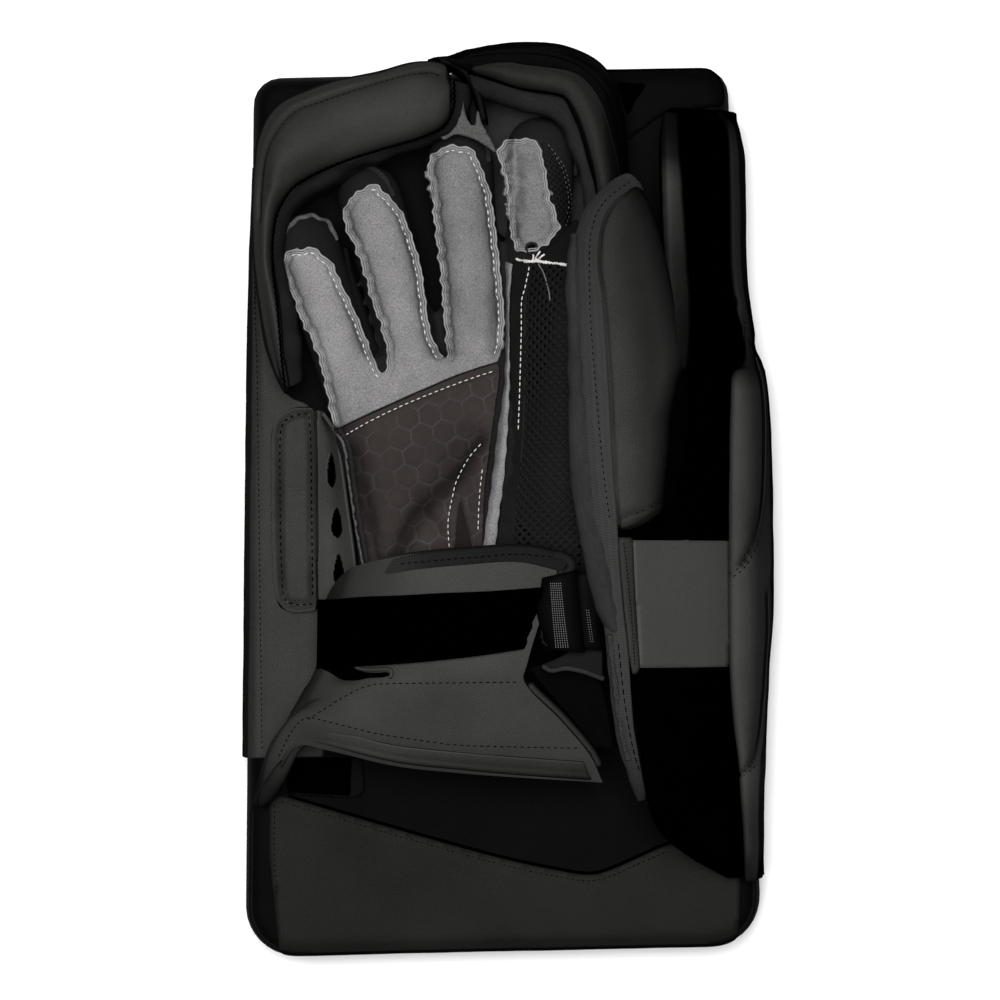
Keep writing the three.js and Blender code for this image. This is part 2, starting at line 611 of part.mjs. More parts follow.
function sideBoard(grown = 0) {
  return loft(sideRows.map(({ y, innerX, innerZ, outerX }) => {
    const edge = boardRight(y) + gap;
    const outer = Math.max(outerX, edge + 2);
    const kneeX = Math.max(innerX + 6, outer - 19);
    const kneeZ = Math.min(innerZ - 1, 59);
    const thick = Math.min(11, (innerZ - 37) * 0.75);
    const section = flat([innerX + 2.5, innerZ - thick], [innerX, innerZ - thick * 0.75], [innerX - 0.6, innerZ - 3.5],
      [innerX + 2.5, innerZ], [mix(innerX + 2.5, kneeX, 0.5), mix(innerZ, kneeZ, 0.44)], [kneeX, kneeZ],
      [mix(kneeX, outer, 0.53), Math.min(52, kneeZ - 2)], [outer - 2.5, Math.min(42, kneeZ - 6)], [outer, 29],
      [outer - 0.3, 15], [Math.max(outer - 2.6, edge + 1), 7], [edge, 8], [edge, 27], [edge - 3, 34.8],
      [mix(kneeX, outer, 0.26), Math.min(43, kneeZ - 9)],
      [kneeX - 3, kneeZ - 12 * (thick / 11)]);
    return across(grow(section, grown), y);
  }));
}

// The leaf-shaped thumb guard, lying over the side board's inner edge.
const leafRows = [
  { y: 129, left: 50, right: 56, crown: 99 },
  { y: 124, left: 43.5, right: 62, crown: 102 },
  { y: 115, left: 36.5, right: 66, crown: 103.5 },
  { y: 103, left: 32.6, right: 69.5, crown: 104 },
  { y: 82, left: 31.4, right: 74.5, crown: 104.4 },
  { y: 60, left: 31.3, right: 78.6, crown: 104.6 },
  { y: 44, left: 31.6, right: 80, crown: 104.8 },
  { y: 25, left: 32.4, right: 78.4, crown: 105 },
  { y: 8, left: 33.6, right: 75, crown: 105 },
  { y: -3, left: 34.6, right: 67, crown: 104.6 },
  { y: -10, left: 35.4, right: 54, crown: 104 },
  { y: -15, left: 36.2, right: 43, crown: 102.6 },
];

function thumbGuard() {
  const shape = loft(leafRows.map(({ y, left, right, crown }) => {
    const wide = right - left;
    const fall = wide * 0.3;
    const section = flat([left + 2, crown - 11.5], [left, crown - 8], [left + 0.4, crown - 3], [left + wide * 0.09, crown],
      [left + wide * 0.35, crown - fall * 0.12], [left + wide * 0.65, crown - fall * 0.4],
      [right - wide * 0.06, crown - fall * 0.86], [right, crown - fall * 0.86 - 5], [right - wide * 0.1, crown - fall - 9],
      [left + wide * 0.5, crown - 11.5 - fall * 0.5]);
    return across(section, y);
  }));
  return largest(shape.subtract(sideBoard(gap)));
}

// The soft roll between the thumb hollow and the side board.
const liningRows = [
  { y: 62, x: 40, z: 84, wide: 5, high: 5 },
  { y: 50, x: 40.5, z: 84.5, wide: 7, high: 6.5 },
  { y: 25, x: 41, z: 85, wide: 7.2, high: 7 },
  { y: 0, x: 41.2, z: 85, wide: 6.8, high: 7 },
  { y: -25, x: 41.2, z: 85, wide: 6.8, high: 7 },
  { y: -48, x: 43.6, z: 84, wide: 6.2, high: 7 },
  { y: -62, x: 47.2, z: 83, wide: 5, high: 6 },
  { y: -70, x: 49.5, z: 82, wide: 3, high: 4 },
];

function thumbLining() {
  const roll = loft(liningRows.map(({ y, x, z, wide, high }) => {
    const section = [];
    for (let i = 0; i < 12; i++) {
      const a = (i / 12) * 2 * Math.PI;
      section.push(new THREE.Vector2(x + wide * Math.cos(a), z + high * Math.sin(a)));
    }
    return across(section, y);
  }));
  return largest(roll.subtract(sideBoard(gap)).subtract(wholeHand(gap + glove.layer + gap)).subtract(thumbGuardGrown()));
}
const thumbGuardGrown = () => loft(leafRows.map(({ y, left, right, crown }) => across(flat([left, crown - 12],
  [left, crown], [right, crown], [right, crown - 22], [mix(left, right, 0.5), crown - 12 - (right - left) * 0.16]), y)));

// The plain patch sewn across the side board, and the plain label on the board under the cuff's mouth.
function sidePatch() {
  const outline = flat([51, -19], [94, -20.5], [93, -72], [54, -70.5]);
  return largest(sideBoard(gap + 1.2).subtract(sideBoard(gap)).intersect(prism(outline, 50, 130)));
}

function innerLabel() {
  return prism(flat([-93.5, -108.8], [-66.2, -108.8], [-67, -125.4], [-93.5, -124]), deck, deck + 0.8);
}

// The stitched tab on the little-finger side, and the slotted band from it to the glove.
function sideTab() {
  const outline = flat([-96.9, 30], [-95.4, 36.4], [-91.9, 39.9], [-86, 41.2], [-79.6, 41.2], [-79.3, 20], [-79.3, -44.6],
    [-80.4, -45.6], [-86, -46], [-91.2, -45.6], [-95.2, -42], [-97.4, -36]);
  const low = wrapTop + gap;
  return loft([
    { section: outline, place: (p) => new THREE.Vector3(p.x, p.y, low) },
    { section: outline, place: (p) => new THREE.Vector3(p.x, p.y, low + 2.6) },
    { section: grow(outline, -1.2), place: (p) => new THREE.Vector3(p.x, p.y, low + 3.8) },
  ]);
}

const bandRows = [
  { y: 39.5, reach: -75.6, rise: 7 },
  { y: 30, reach: -71.6, rise: 11 },
  { y: 15, reach: -69.2, rise: 12.5 },
  { y: 0, reach: -66.9, rise: 13 },
  { y: -16, reach: -64.9, rise: 13 },
  { y: -31, reach: -63.4, rise: 12.5 },
];
const bandSlots = [
  { x: -72.2, y: 14.5, half: 7.4, wide: 1.9 },
  { x: -70.2, y: -8, half: 6.6, wide: 2.2 },
  { x: -69.4, y: -24.4, half: 4.8, wide: 2.1 },
];

function sideBand() {
  const low = deck + wrap.thick + gap;
  const start = -79;
  const band = loft(bandRows.map(({ y, reach, rise }) => across(flat([start, low], [-76, low], [reach, low + rise - 3.4],
    [reach - 0.4, low + rise - 1.6], [-77.4, low + 2.4], [start, low + 2]), y)));
  return largest(bandSlots.reduce((rest, { x, y, half, wide }) => {
    const ring = Array.from({ length: 12 }, (_, i) => [x + wide * Math.cos(i * Math.PI / 6), y + half * Math.sin(i * Math.PI / 6)]);
    return rest.subtract(prism(flat(...ring), low - 2, low + 20));
  }, band));
}

const pieces = [
  ['main_board', mainBoard(), 'blackLeather'],
  ['lower_panel', lowerPanel(), 'leather'],
  ['edge_wrap', edgeWrap(), 'leather'],
  ['side_tab', sideTab(), 'leather'],
  ['side_band', sideBand(), 'leather'],
  ['finger_guard', fingerGuard(), 'leather'],
  ['index_guard', indexGuard(), 'leather'],
  ['palm_shell', largest(handBody(0).subtract(hollow)), 'knit'],
  ...fingers.map((finger, i) => [`${finger.name}_finger`, fingerStall(i), 'knit']),
  ['palm_suede', palmSuede(), 'suede'],
  ['index_suede', indexSuede(), 'suede'],
  ['palm_patch', palmPatch(), 'patch'],
  ['palm_welt', palmWelt(), 'suede'],
  ['thumb_web', thumbWeb(), 'mesh'],
  ['wrist_cuff', wristCuff(), 'leather'],
  ['wrist_strap', wristStrap(), 'webbing'],
  ['strap_buckle', strapBuckle(), 'plastic'],
  ['buckle_webbing', buckleWebbing(), 'webbing'],
  ['side_board', sideBoard(), 'blackLeather'],
  ['side_patch', sidePatch(), 'leather'],
  ['thumb_guard', thumbGuard(), 'leather'],
  ['thumb_lining', thumbLining(), 'knit'],
  ['inner_label', innerLabel(), 'blackLeather'],
];

const blocker = new THREE.Group();
blocker.position.set(originShift.x, originShift.y, 0);
for (const [name, solid, material] of pieces) {
  const { numProp, vertProperties, triVerts } = solid.getMesh();
  const geometry = new THREE.BufferGeometry();
  const interleaved = new THREE.InterleavedBuffer(vertProperties, numProp);
  geometry.setAttribute('position', new THREE.InterleavedBufferAttribute(interleaved, 3, 0));
  geometry.setIndex(new THREE.BufferAttribute(triVerts, 1));
  const facets = geometry.toNonIndexed();
  facets.computeVertexNormals();
  const mesh = new THREE.Mesh(facets, finish[material]);
  mesh.name = name;
  blocker.add(mesh);
}

export default blocker;
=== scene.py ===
# Goalie blocker: leather board, padded guards, glove, cuff and side board, seen palm up.
import math
import random

import bmesh
import bpy
import numpy as np
from mathutils import Matrix, Vector, noise
from mathutils.bvhtree import BVHTree


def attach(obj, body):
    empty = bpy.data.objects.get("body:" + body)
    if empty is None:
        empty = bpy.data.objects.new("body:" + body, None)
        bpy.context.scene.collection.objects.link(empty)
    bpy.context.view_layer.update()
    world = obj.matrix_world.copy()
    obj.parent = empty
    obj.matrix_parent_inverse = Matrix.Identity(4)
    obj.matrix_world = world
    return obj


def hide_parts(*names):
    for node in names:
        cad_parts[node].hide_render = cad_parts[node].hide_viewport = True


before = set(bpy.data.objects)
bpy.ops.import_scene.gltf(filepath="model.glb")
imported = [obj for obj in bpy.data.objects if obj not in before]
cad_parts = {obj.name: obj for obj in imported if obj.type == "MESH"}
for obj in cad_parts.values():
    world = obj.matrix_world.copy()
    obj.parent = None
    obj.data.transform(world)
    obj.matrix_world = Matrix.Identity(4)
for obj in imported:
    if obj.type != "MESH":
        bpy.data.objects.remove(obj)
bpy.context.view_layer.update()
random.seed(7)
scene = bpy.context.scene
print("frame loaded")

# Places below are millimetres from the middle of the traced outline, x to the thumb and y to the fingertips.
place = {"x": -1.4, "y": 0.5, "unit": 0.001}


def metres(spots):
    # traced millimetres into the frame's metres
    spots = np.array(spots, float)
    return (spots + [place["x"], place["y"], 0.0]) * place["unit"]


def traced(spots):
    # the frame's metres back into traced millimetres
    return np.array(spots, float) / place["unit"] - [place["x"], place["y"], 0]


# Lines and surfaces

def runOf(line):
    # the running length along a line of places
    return np.concatenate([[0.0], np.cumsum(np.linalg.norm(np.diff(line, axis=0), axis=1))])


def unit(vectors):
    return vectors / np.maximum(np.linalg.norm(vectors, axis=1), 1e-9)[:, None]


def smoothLine(points, closed, reach):
    # a soft curve through the points, with its running length over the first columns
    steps = 10
    p = np.array(points, float)
    if closed:
        ring = np.vstack([p[-1:], p, p[:2]])
    else:
        ring = np.vstack([2 * p[:1] - p[1:2], p, 2 * p[-1:] - p[-2:-1]])
    t = (np.arange(steps) / steps)[:, None]
    spans = []
    for i in range(len(ring) - 3):
        a, b, c, d = ring[i:i + 4]
        spans.append(0.5 * (2 * b + (c - a) * t + (2 * a - 5 * b + 4 * c - d) * t ** 2
                            + (3 * b - a - 3 * c + d) * t ** 3))
    spans.append(p[:1] if closed else p[-1:])
    line = np.vstack(spans)
    return line, runOf(line[:, :reach])


def readLine(points, shares, closed=False, reach=2):
    line, run = smoothLine(points, closed, reach)
    where = np.asarray(shares, float) * run[-1]
    return np.stack([np.interp(where, run, line[:, k]) for k in range(line.shape[1])], axis=-1)


def evenly(points, spacing, closed=False, reach=2):
    run = smoothLine(points, closed, reach)[1]
    count = max(2, int(round(run[-1] / spacing)))
    shares = np.linspace(0, 1, count + 1)
    if closed:
        shares = shares[:-1]
    return readLine(points, shares, closed, reach)


def lengthOf(points, reach=2):
    return smoothLine(points, False, reach)[1][-1]


def sidesOf(line, closed=False):
    # level unit steps to the right of a line
    ahead = np.roll(line, -1, axis=0) - np.roll(line, 1, axis=0)
    if not closed:
        ahead[0] = line[1] - line[0]
        ahead[-1] = line[-1] - line[-2]
    return unit(np.stack([ahead[:, 1], -ahead[:, 0]], axis=1))


def unevenness(count, rate, row, seed):
    # a row of smooth noise values
    return np.array([noise.noise(Vector((i * rate, row, seed))) for i in range(count)])


def rolling(values, reach):
    # a running mean with its ends held
    return np.convolve(np.pad(values, reach, "edge"), np.ones(2 * reach + 1) / (2 * reach + 1), "valid")


def waver(points, size, wave, seed, closed=False):
    # the same line with soft uneven waves to its sides
    line = np.array(points, float)
    side = sidesOf(line, closed)
    run = runOf(line[:, :2])
    sizes = np.interp(run / run[-1], np.linspace(0, 1, len(np.atleast_1d(size))), np.atleast_1d(size))
    push = [z * (math.sin(2 * math.pi * r / wave + 1.7 * noise.noise(Vector((r / wave / 2.3, seed, 0.3))))
                    * (0.75 + 0.6 * noise.noise(Vector((r / wave / 1.7, seed, 5.1))))) for r, z in zip(run, sizes)]
    line[:, :2] += side * np.array(push)[:, None]
    return line


def sideStep(points, distance):
    # a line moved to its right by a distance
    line = np.array(points, float)
    line[:, :2] += sidesOf(line) * distance
    return line


def netOf(curves, columns, rows, closed=False, reach=3):
    # a net through long curves: each is read by its length, then joined across
    shares = np.linspace(0, 1, rows)
    read = np.stack([readLine(c, shares, reach=reach) for c in curves], axis=1)
    across = np.linspace(0, 1, columns)
    return np.stack([readLine(row, across, closed=closed, reach=reach) for row in read])


def distanceTo(line, spots):
    # how far each spot lies from a line of short straight steps, seen from above
    a = line[:-1, :2]
    b = line[1:, :2]
    step = b - a
    size = np.maximum((step ** 2).sum(1), 1e-12)
    best = np.full(len(spots), 1e9)
    near = np.zeros((len(spots), 2))
    for i in range(len(a)):
        t = np.clip(((spots[:, :2] - a[i]) @ step[i]) / size[i], 0, 1)
        foot = a[i] + t[:, None] * step[i]
        gap = np.linalg.norm(spots[:, :2] - foot, axis=1)
        closer = gap < best
        best[closer] = gap[closer]
        near[closer] = foot[closer]
    return best, near


def insideOf(outline, spots):
    x, y = spots[:, 0], spots[:, 1]
    inside = np.zeros(len(spots), bool)
    ends = np.roll(outline, -1, axis=0)
    for (ax, ay), (bx, by) in zip(outline[:, :2], ends[:, :2]):
        crosses = (ay > y) != (by > y)
        if ay != by:
            inside ^= crosses & (x < (bx - ax) * (y - ay) / (by - ay) + ax)
    return inside


# Making meshes

def finishMesh(name, bm, material, facing="out"):
    bmesh.ops.recalc_face_normals(bm, faces=bm.faces[:])
    if facing == "up" and sum(f.normal.z * f.calc_area() for f in bm.faces) < 0:
        bmesh.ops.reverse_faces(bm, faces=bm.faces[:])
    mesh = bpy.data.meshes.new(name)
    bm.to_mesh(mesh)
    bm.free()
    mesh.materials.append(material)
    mesh.polygons.foreach_set("use_smooth", [True] * len(mesh.polygons))
    piece = bpy.data.objects.new(name, mesh)
    scene.collection.objects.link(piece)
    return piece


def spanOf(spots):
    # mean width and height of a net of places
    return [np.linalg.norm(np.diff(spots, axis=k), axis=2).sum(k).mean() for k in (1, 0)]


def gridPiece(name, spots, material, rolled=False, caps=False, facing="out"):
    # a grid laid over rows and columns of places; a rolled one is joined into a tube
    rows, columns = spots.shape[:2]
    bm = bmesh.new()
    uv = bm.loops.layers.uv.new("weave")
    bmesh.ops.create_grid(bm, x_segments=columns - 1, y_segments=rows - 1, size=0.5, calc_uvs=True)
    wide, tall = spanOf(spots)
    where = metres(spots)
    for face in bm.faces:
        for loop in face.loops:
            loop[uv].uv = ((loop.vert.co.x + 0.5) * wide, (loop.vert.co.y + 0.5) * tall)
    for v in bm.verts:
        v.co = where[int(round((v.co.y + 0.5) * (rows - 1))), int(round((v.co.x + 0.5) * (columns - 1)))]
    if rolled:
        bmesh.ops.remove_doubles(bm, verts=bm.verts[:], dist=1e-6)
    if caps:
        rims = [e for e in bm.edges if e.is_boundary]
        bmesh.ops.holes_fill(bm, edges=rims, sides=0)
    return finishMesh(name, bm, material, facing)


def frameAlong(path):
    # unit steps ahead, to the right and up along a path
    ahead = unit(np.gradient(path, axis=0))
    side = unit(np.cross(ahead, np.broadcast_to(np.array([0, 0, 1.0]), ahead.shape)))
    return ahead, side, np.cross(side, ahead)


def tubePiece(name, path, wide, high, material, sides):
    # a round or flattened roll along a path, closed and rounded at both ends
    path = np.array(path, float)
    count = len(path)
    wide = np.broadcast_to(np.array(wide, float), (count,)).copy()
    high = np.broadcast_to(np.array(high, float), (count,)).copy()
    ahead, side, top = frameAlong(path)
    path = np.vstack([path[:1] - ahead[:1] * wide[0] * 0.6, path[:1] - ahead[:1] * wide[0] * 0.4, path,
                      path[-1:] + ahead[-1:] * wide[-1] * 0.4, path[-1:] + ahead[-1:] * wide[-1] * 0.6])
    side = np.vstack([side[:1], side[:1], side, side[-1:], side[-1:]])
    top = np.vstack([top[:1], top[:1], top, top[-1:], top[-1:]])
    taper = np.array([0.2, 0.75] + [1.0] * count + [0.75, 0.2])
    wide = np.concatenate([[wide[0]] * 2, wide, [wide[-1]] * 2]) * taper
    high = np.concatenate([[high[0]] * 2, high, [high[-1]] * 2]) * taper
    turn = np.linspace(0, 2 * math.pi, sides + 1)
    spots = (path[:, None, :] + side[:, None, :] * (wide[:, None] * np.cos(turn))[:, :, None]
             + top[:, None, :] * (high[:, None] * np.sin(turn))[:, :, None])
    return gridPiece(name, spots, material, rolled=True, caps=True)


def ringPiece(name, path, wide, high, material, sides):
    # a closed roll with a slightly square section, along a closed path that lies level
    square = 0.7
    path = np.array(path, float)
    ahead = unit(np.roll(path, -1, axis=0) - np.roll(path, 1, axis=0))
    side = unit(np.cross(ahead, [0, 0, 1.0]))
    top = np.cross(side, ahead)
    turn = np.linspace(0, 2 * math.pi, sides + 1)
    c, s = [np.sign(w) * np.abs(w) ** square for w in (np.cos(turn), np.sin(turn))]
    spots = path[:, None, :] + side[:, None, :] * (wide * c)[None, :, None] + top[:, None, :] * (high * s)[None, :, None]
    return gridPiece(name, np.concatenate([spots, spots[:1]]), material, rolled=True)


def sweptPad(name, rows, sectionOf, material, spacing, around, roundEnds):
    # a closed pad between an outer and an inner line; the section runs inwards and up
    run = lengthOf(rows)
    ends = np.array([0.3, 0.8, 1.6, 2.4]) / run
    shares = np.sort(np.concatenate([np.linspace(0, 1, max(8, int(run / spacing)) + 1), ends, 1 - ends]))
    values = readLine(rows, shares)
    turn = np.linspace(0, 1, around + 1)
    spots = np.zeros((len(shares), around + 1, 3))
    for i, (x, y, innerX, innerY, top) in enumerate(values):
        reach = np.array([innerX - x, innerY - y])
        wide = np.linalg.norm(reach)
        section = readLine(sectionOf(wide, top), turn, closed=True)
        centre = section[:-1].mean(0)
        for distance, radius in ((shares[i] * run, roundEnds[0]), ((1 - shares[i]) * run, roundEnds[1])):
            if distance < radius:
                shrink = math.sqrt(max(0.0, 1 - (1 - distance / radius) ** 2)) * 0.8 + 0.2
                section = centre + (section - centre) * [shrink, 1 - (1 - shrink) * 0.4]
        spots[i, :, :2] = np.array([x, y]) + reach / wide * section[:, :1]
        spots[i, :, 2] = section[:, 1]
    return gridPiece(name, spots, material, rolled=True, caps=True)


def cutSheet(name, outline, spacing, material, tree, lift, fallback=40.0, steep=1.1):
    # a grid trimmed to an outline, its rim pulled onto it, laid over what is under it; it bridges what is steeper
    outline = np.array(outline, float)[:, :2]
    low = outline.min(0) - spacing
    high = outline.max(0) + spacing
    columns, rows = (np.ceil((high - low) / spacing)).astype(int)
    bm = bmesh.new()
    uv = bm.loops.layers.uv.new("weave")
    bmesh.ops.create_grid(bm, x_segments=int(columns), y_segments=int(rows), size=0.5)
    for v in bm.verts:
        v.co.x = low[0] + (v.co.x + 0.5) * (high[0] - low[0])
        v.co.y = low[1] + (v.co.y + 0.5) * (high[1] - low[1])
    middles = np.array([f.calc_center_median()[:2] for f in bm.faces])
    keep = insideOf(outline, middles)
    bmesh.ops.delete(bm, geom=[f for f, k in zip(bm.faces[:], keep) if not k], context="FACES")
    rim = [v for v in bm.verts if v.is_boundary]
    loop = np.vstack([outline, outline[:1]])
    near = distanceTo(loop, np.array([v.co[:2] for v in rim]))[1]
    for v, spot in zip(rim, near):
        v.co.x, v.co.y = spot
    inner = [v for v in bm.verts if not v.is_boundary]
    for _ in range(3):
        bmesh.ops.smooth_vert(bm, verts=inner, factor=0.5, use_axis_x=True, use_axis_y=True)
    for face in bm.faces:
        for corner in face.loops:
            corner[uv].uv = corner.vert.co[:2]
    last = fallback
    for v in bm.verts:
        spot, _ = under(tree, v.co.x, v.co.y)
        last = spot[2] if spot is not None else last
        v.co.z = last + lift
    for _ in range(8):
        for v in bm.verts:
            for e in v.link_edges:
                other = e.other_vert(v).co
                v.co.z = max(v.co.z, other.z - steep * (other.xy - v.co.xy).length)
    bmesh.ops.smooth_vert(bm, verts=bm.verts[:], factor=0.5, use_axis_z=True)
    bmesh.ops.smooth_vert(bm, verts=bm.verts[:], factor=0.5, use_axis_z=True)
    for v in bm.verts:
        v.co = metres(v.co)
    return finishMesh(name, bm, material, facing="up")


def treeOf(*pieces):
    # what a ray from above would meet, modifiers included
    view = bpy.context.evaluated_depsgraph_get()
    points, faces = [], []
    for piece in pieces:
        shape = piece.evaluated_get(view)
        mesh = shape.to_mesh()
        start = len(points)
        points += [v.co.copy() for v in mesh.vertices]
        faces += [[start + i for i in p.vertices] for p in mesh.polygons]
        shape.to_mesh_clear()
    return BVHTree.FromPolygons(points, faces)


def under(tree, x, y):
    # what lies straight below a place seen from above: where, and which way it faces
    above = Vector(metres([x, y, 140.0]))
    hit, normal, _, _ = tree.ray_cast(above, Vector((0, 0, -1)))
    if hit is None:
        return None, None
    return traced(hit), np.array(normal)


def heightAt(tree, x, y, fallback):
    spot, _ = under(tree, x, y)
    return fallback if spot is None else spot[2]


def layOn(tree, points, lift, fallback=None):
    # the places straight below points seen from above, raised a little off what is there
    laid, facing = [], []
    z = fallback
    for p in np.array(points, float):
        spot, normal = under(tree, p[0], p[1])
        if spot is None:
            if z is None:
                continue
            spot, normal = np.array([p[0], p[1], z]), np.array([0, 0, 1.0])
        if normal[2] < 0:
            normal = -normal
        z = spot[2]
        laid.append(spot + normal * lift)
        facing.append(normal)
    return np.array(laid), np.array(facing)


def soften(path, passes=2):
    path = np.array(path, float)
    for _ in range(passes):
        path[1:-1] = path[1:-1] * 0.5 + (path[:-2] + path[2:]) * 0.25
    return path


def readVertices(mesh, key="co"):
    # one row for each vertex
    values = np.zeros(len(mesh.vertices) * 3)
    mesh.vertices.foreach_get(key, values)
    return values.reshape(-1, 3)


def placesOf(piece):
    return traced(readVertices(piece.data))


def press(piece, line, width, depth, sharp=2.0):
    # a seam: the face sinks along a line seen from above
    mesh = piece.data
    spots, normals = readVertices(mesh), readVertices(mesh, "normal")
    local = traced(spots)
    line = np.array(line, float)
    low, high = line[:, :2].min(0) - width, line[:, :2].max(0) + width
    close = np.where((local[:, 0] > low[0]) & (local[:, 0] < high[0]) & (local[:, 1] > low[1])
                     & (local[:, 1] < high[1]) & (normals[:, 2] > 0.05))[0]
    if len(close) == 0:
        return
    gap = distanceTo(line, local[close])[0]
    fall = np.clip(1 - gap / width, 0, 1) ** sharp
    spots[close] -= normals[close] * (fall * depth * place["unit"])[:, None]
    mesh.vertices.foreach_set("co", spots.ravel())
    mesh.update()


def crumple(piece, size, wave, seed, upward=0.2):
    # soft uneven wrinkles over a face
    mesh = piece.data
    for v in mesh.vertices:
        if v.normal.z < upward:
            continue
        s = v.co / place["unit"]
        rise = noise.noise(Vector((s.x / wave, s.y / wave, s.z / wave + seed)))
        rise += 0.5 * noise.noise(Vector((s.x / wave * 2.1, s.y / wave * 2.1, seed + 4)))
        v.co += v.normal * (rise * size * place["unit"])
    mesh.update()
    return piece


def shadeBy(piece, valueOf):
    # painted light and shade over the cover from place to place, with some plain tone changes, kept as a vertex value
    layer = piece.data.attributes.new("paintedShadeAndTone", "FLOAT", "POINT")
    layer.data.foreach_set("value", np.asarray(valueOf(placesOf(piece)), np.float32))
    return piece


def refine(piece):
    # one finer level of mesh, kept as plain mesh
    mod = piece.modifiers.new("finer", "SUBSURF")
    mod.levels = 1
    mod.render_levels = 1
    return bake(piece)


def bake(piece):
    # turns the modifiers into plain mesh
    view = bpy.context.evaluated_depsgraph_get()
    made = bpy.data.meshes.new_from_object(piece.evaluated_get(view), preserve_all_data_layers=True, depsgraph=view)
    old = piece.data
    piece.modifiers.clear()
    piece.data = made
    made.name = piece.name
    bpy.data.meshes.remove(old)
    return piece


def thicken(piece, thick):
    mod = piece.modifiers.new("wall", "SOLIDIFY")
    mod.thickness = thick * place["unit"]
    mod.offset = -1
    mod.use_quality_normals = True
    return piece


def clothWall(piece, thick, length, width=None):
    # a cloth wall: the sheet is thickened. The length in millimetres and the width are read but do not change it
    narrowest = 0.0102
    area = sum(p.area for p in piece.data.polygons)
    long = length * place["unit"]
    thicken(piece, thick)
    if width:
        return piece
    if area / long < narrowest:
        return piece
    return piece


def softEdge(piece, width, segments=2, angle=40):
    mod = piece.modifiers.new("soft edge", "BEVEL")
    mod.width = width * place["unit"]
    mod.segments = segments
    mod.limit_method = "ANGLE"
    mod.angle_limit = math.radians(angle)
    return piece


def puff(piece, pressure, cap):
    # the cover swells like filled cloth, and no point moves further than the cap
    frames = 20
    mesh = piece.data
    start = readVertices(mesh)
    mod = piece.modifiers.new("filled", "CLOTH")
    cloth = mod.settings
    cloth.quality = 4
    cloth.mass = 0.3
    cloth.tension_stiffness = 25
    cloth.compression_stiffness = 25
    cloth.shear_stiffness = 10
    cloth.bending_stiffness = 4
    cloth.use_pressure = True
    cloth.uniform_pressure_force = pressure
    cloth.effector_weights.gravity = 0
    mod.collision_settings.use_collision = False
    mod.point_cache.frame_start = 1
    mod.point_cache.frame_end = frames
    for f in range(1, frames + 1):
        scene.frame_set(f)
    shape = piece.evaluated_get(bpy.context.evaluated_depsgraph_get())
    end = readVertices(shape.to_mesh())
    shape.to_mesh_clear()
    piece.modifiers.clear()
    scene.frame_set(1)
    move = end - start
    far = np.linalg.norm(move, axis=1)
    limit = cap * place["unit"]
    move *= (limit * np.tanh(far / limit) / np.maximum(far, 1e-12))[:, None]
    mesh.vertices.foreach_set("co", (start + move).ravel())
    mesh.update()
    return piece


def stitchRun(name, runs, material, pitch, length, thick):
    # short thread stitches along lines that lie on a face; runs holds (places, facings)
    sink = 0.15
    bm = bmesh.new()
    for spots, facing in runs:
        run = runOf(spots)
        for mark in np.arange(pitch * 0.5, run[-1], pitch):
            a, b = [np.array([np.interp(m, run, spots[:, k]) for k in range(3)]) for m in (mark - length / 2, mark + length / 2)]
            n = np.array([np.interp(mark, run, facing[:, k]) for k in range(3)])
            ahead = Vector(b - a)
            if ahead.length < 1e-4:
                continue
            ahead.normalize()
            side = Vector(n).cross(ahead).normalized()
            up = ahead.cross(side).normalized()
            centre = Vector(metres((a + b) / 2 - np.array(up) * sink))
            turn = Matrix((ahead, side, up)).transposed().to_4x4()
            half = thick / 2 * place["unit"]
            size = Matrix.Diagonal((length / 2 * place["unit"], half, half, 1))
            bmesh.ops.create_uvsphere(bm, u_segments=6, v_segments=5, radius=1,
                                      matrix=Matrix.Translation(centre) @ turn @ size @ Matrix.Rotation(math.pi / 2, 4, "Y"))
    return finishMesh(name, bm, material)


def stitchOn(name, tree, lines, material, pitch, length, thick, lift):
    runs = []
    for line in lines:
        laid, facing = layOn(tree, evenly(line, 0.8), lift)
        if len(laid) > 2:
            runs.append((soften(laid), facing))
    return stitchRun(name, runs, material, pitch, length, thick)


def addPiece(piece, nodes):
    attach(piece, "root")
    if nodes:
        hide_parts(*nodes)
    return piece


def cordOn(name, tree, line, lift, passes, wide, high, material, sides, fallback=None):
    # a roll along a line seen from above, softened by some passes and laid on what is under it
    laid, _ = layOn(tree, line, lift, fallback)
    return addPiece(tubePiece(name, soften(laid, passes), wide, high, material, sides), ())


def slicedPiece(name, rows, sectionOf, count, around, material):
    # a closed form through sections across y; each row holds y and what its section is made from
    spots = []
    for y, _, *values in readLine([(y, 0, *rest) for y, *rest in rows], np.linspace(0, 1, count), reach=1):
        section = readLine(sectionOf(y, *values), np.linspace(0, 1, around), closed=True)
        spots.append(np.column_stack([section[:, 0], np.full(around, y), section[:, 1]]))
    return gridPiece(name, np.array(spots), material, rolled=True, caps=True)


# Finishes. Tones are linear; grain sizes are millimetres.

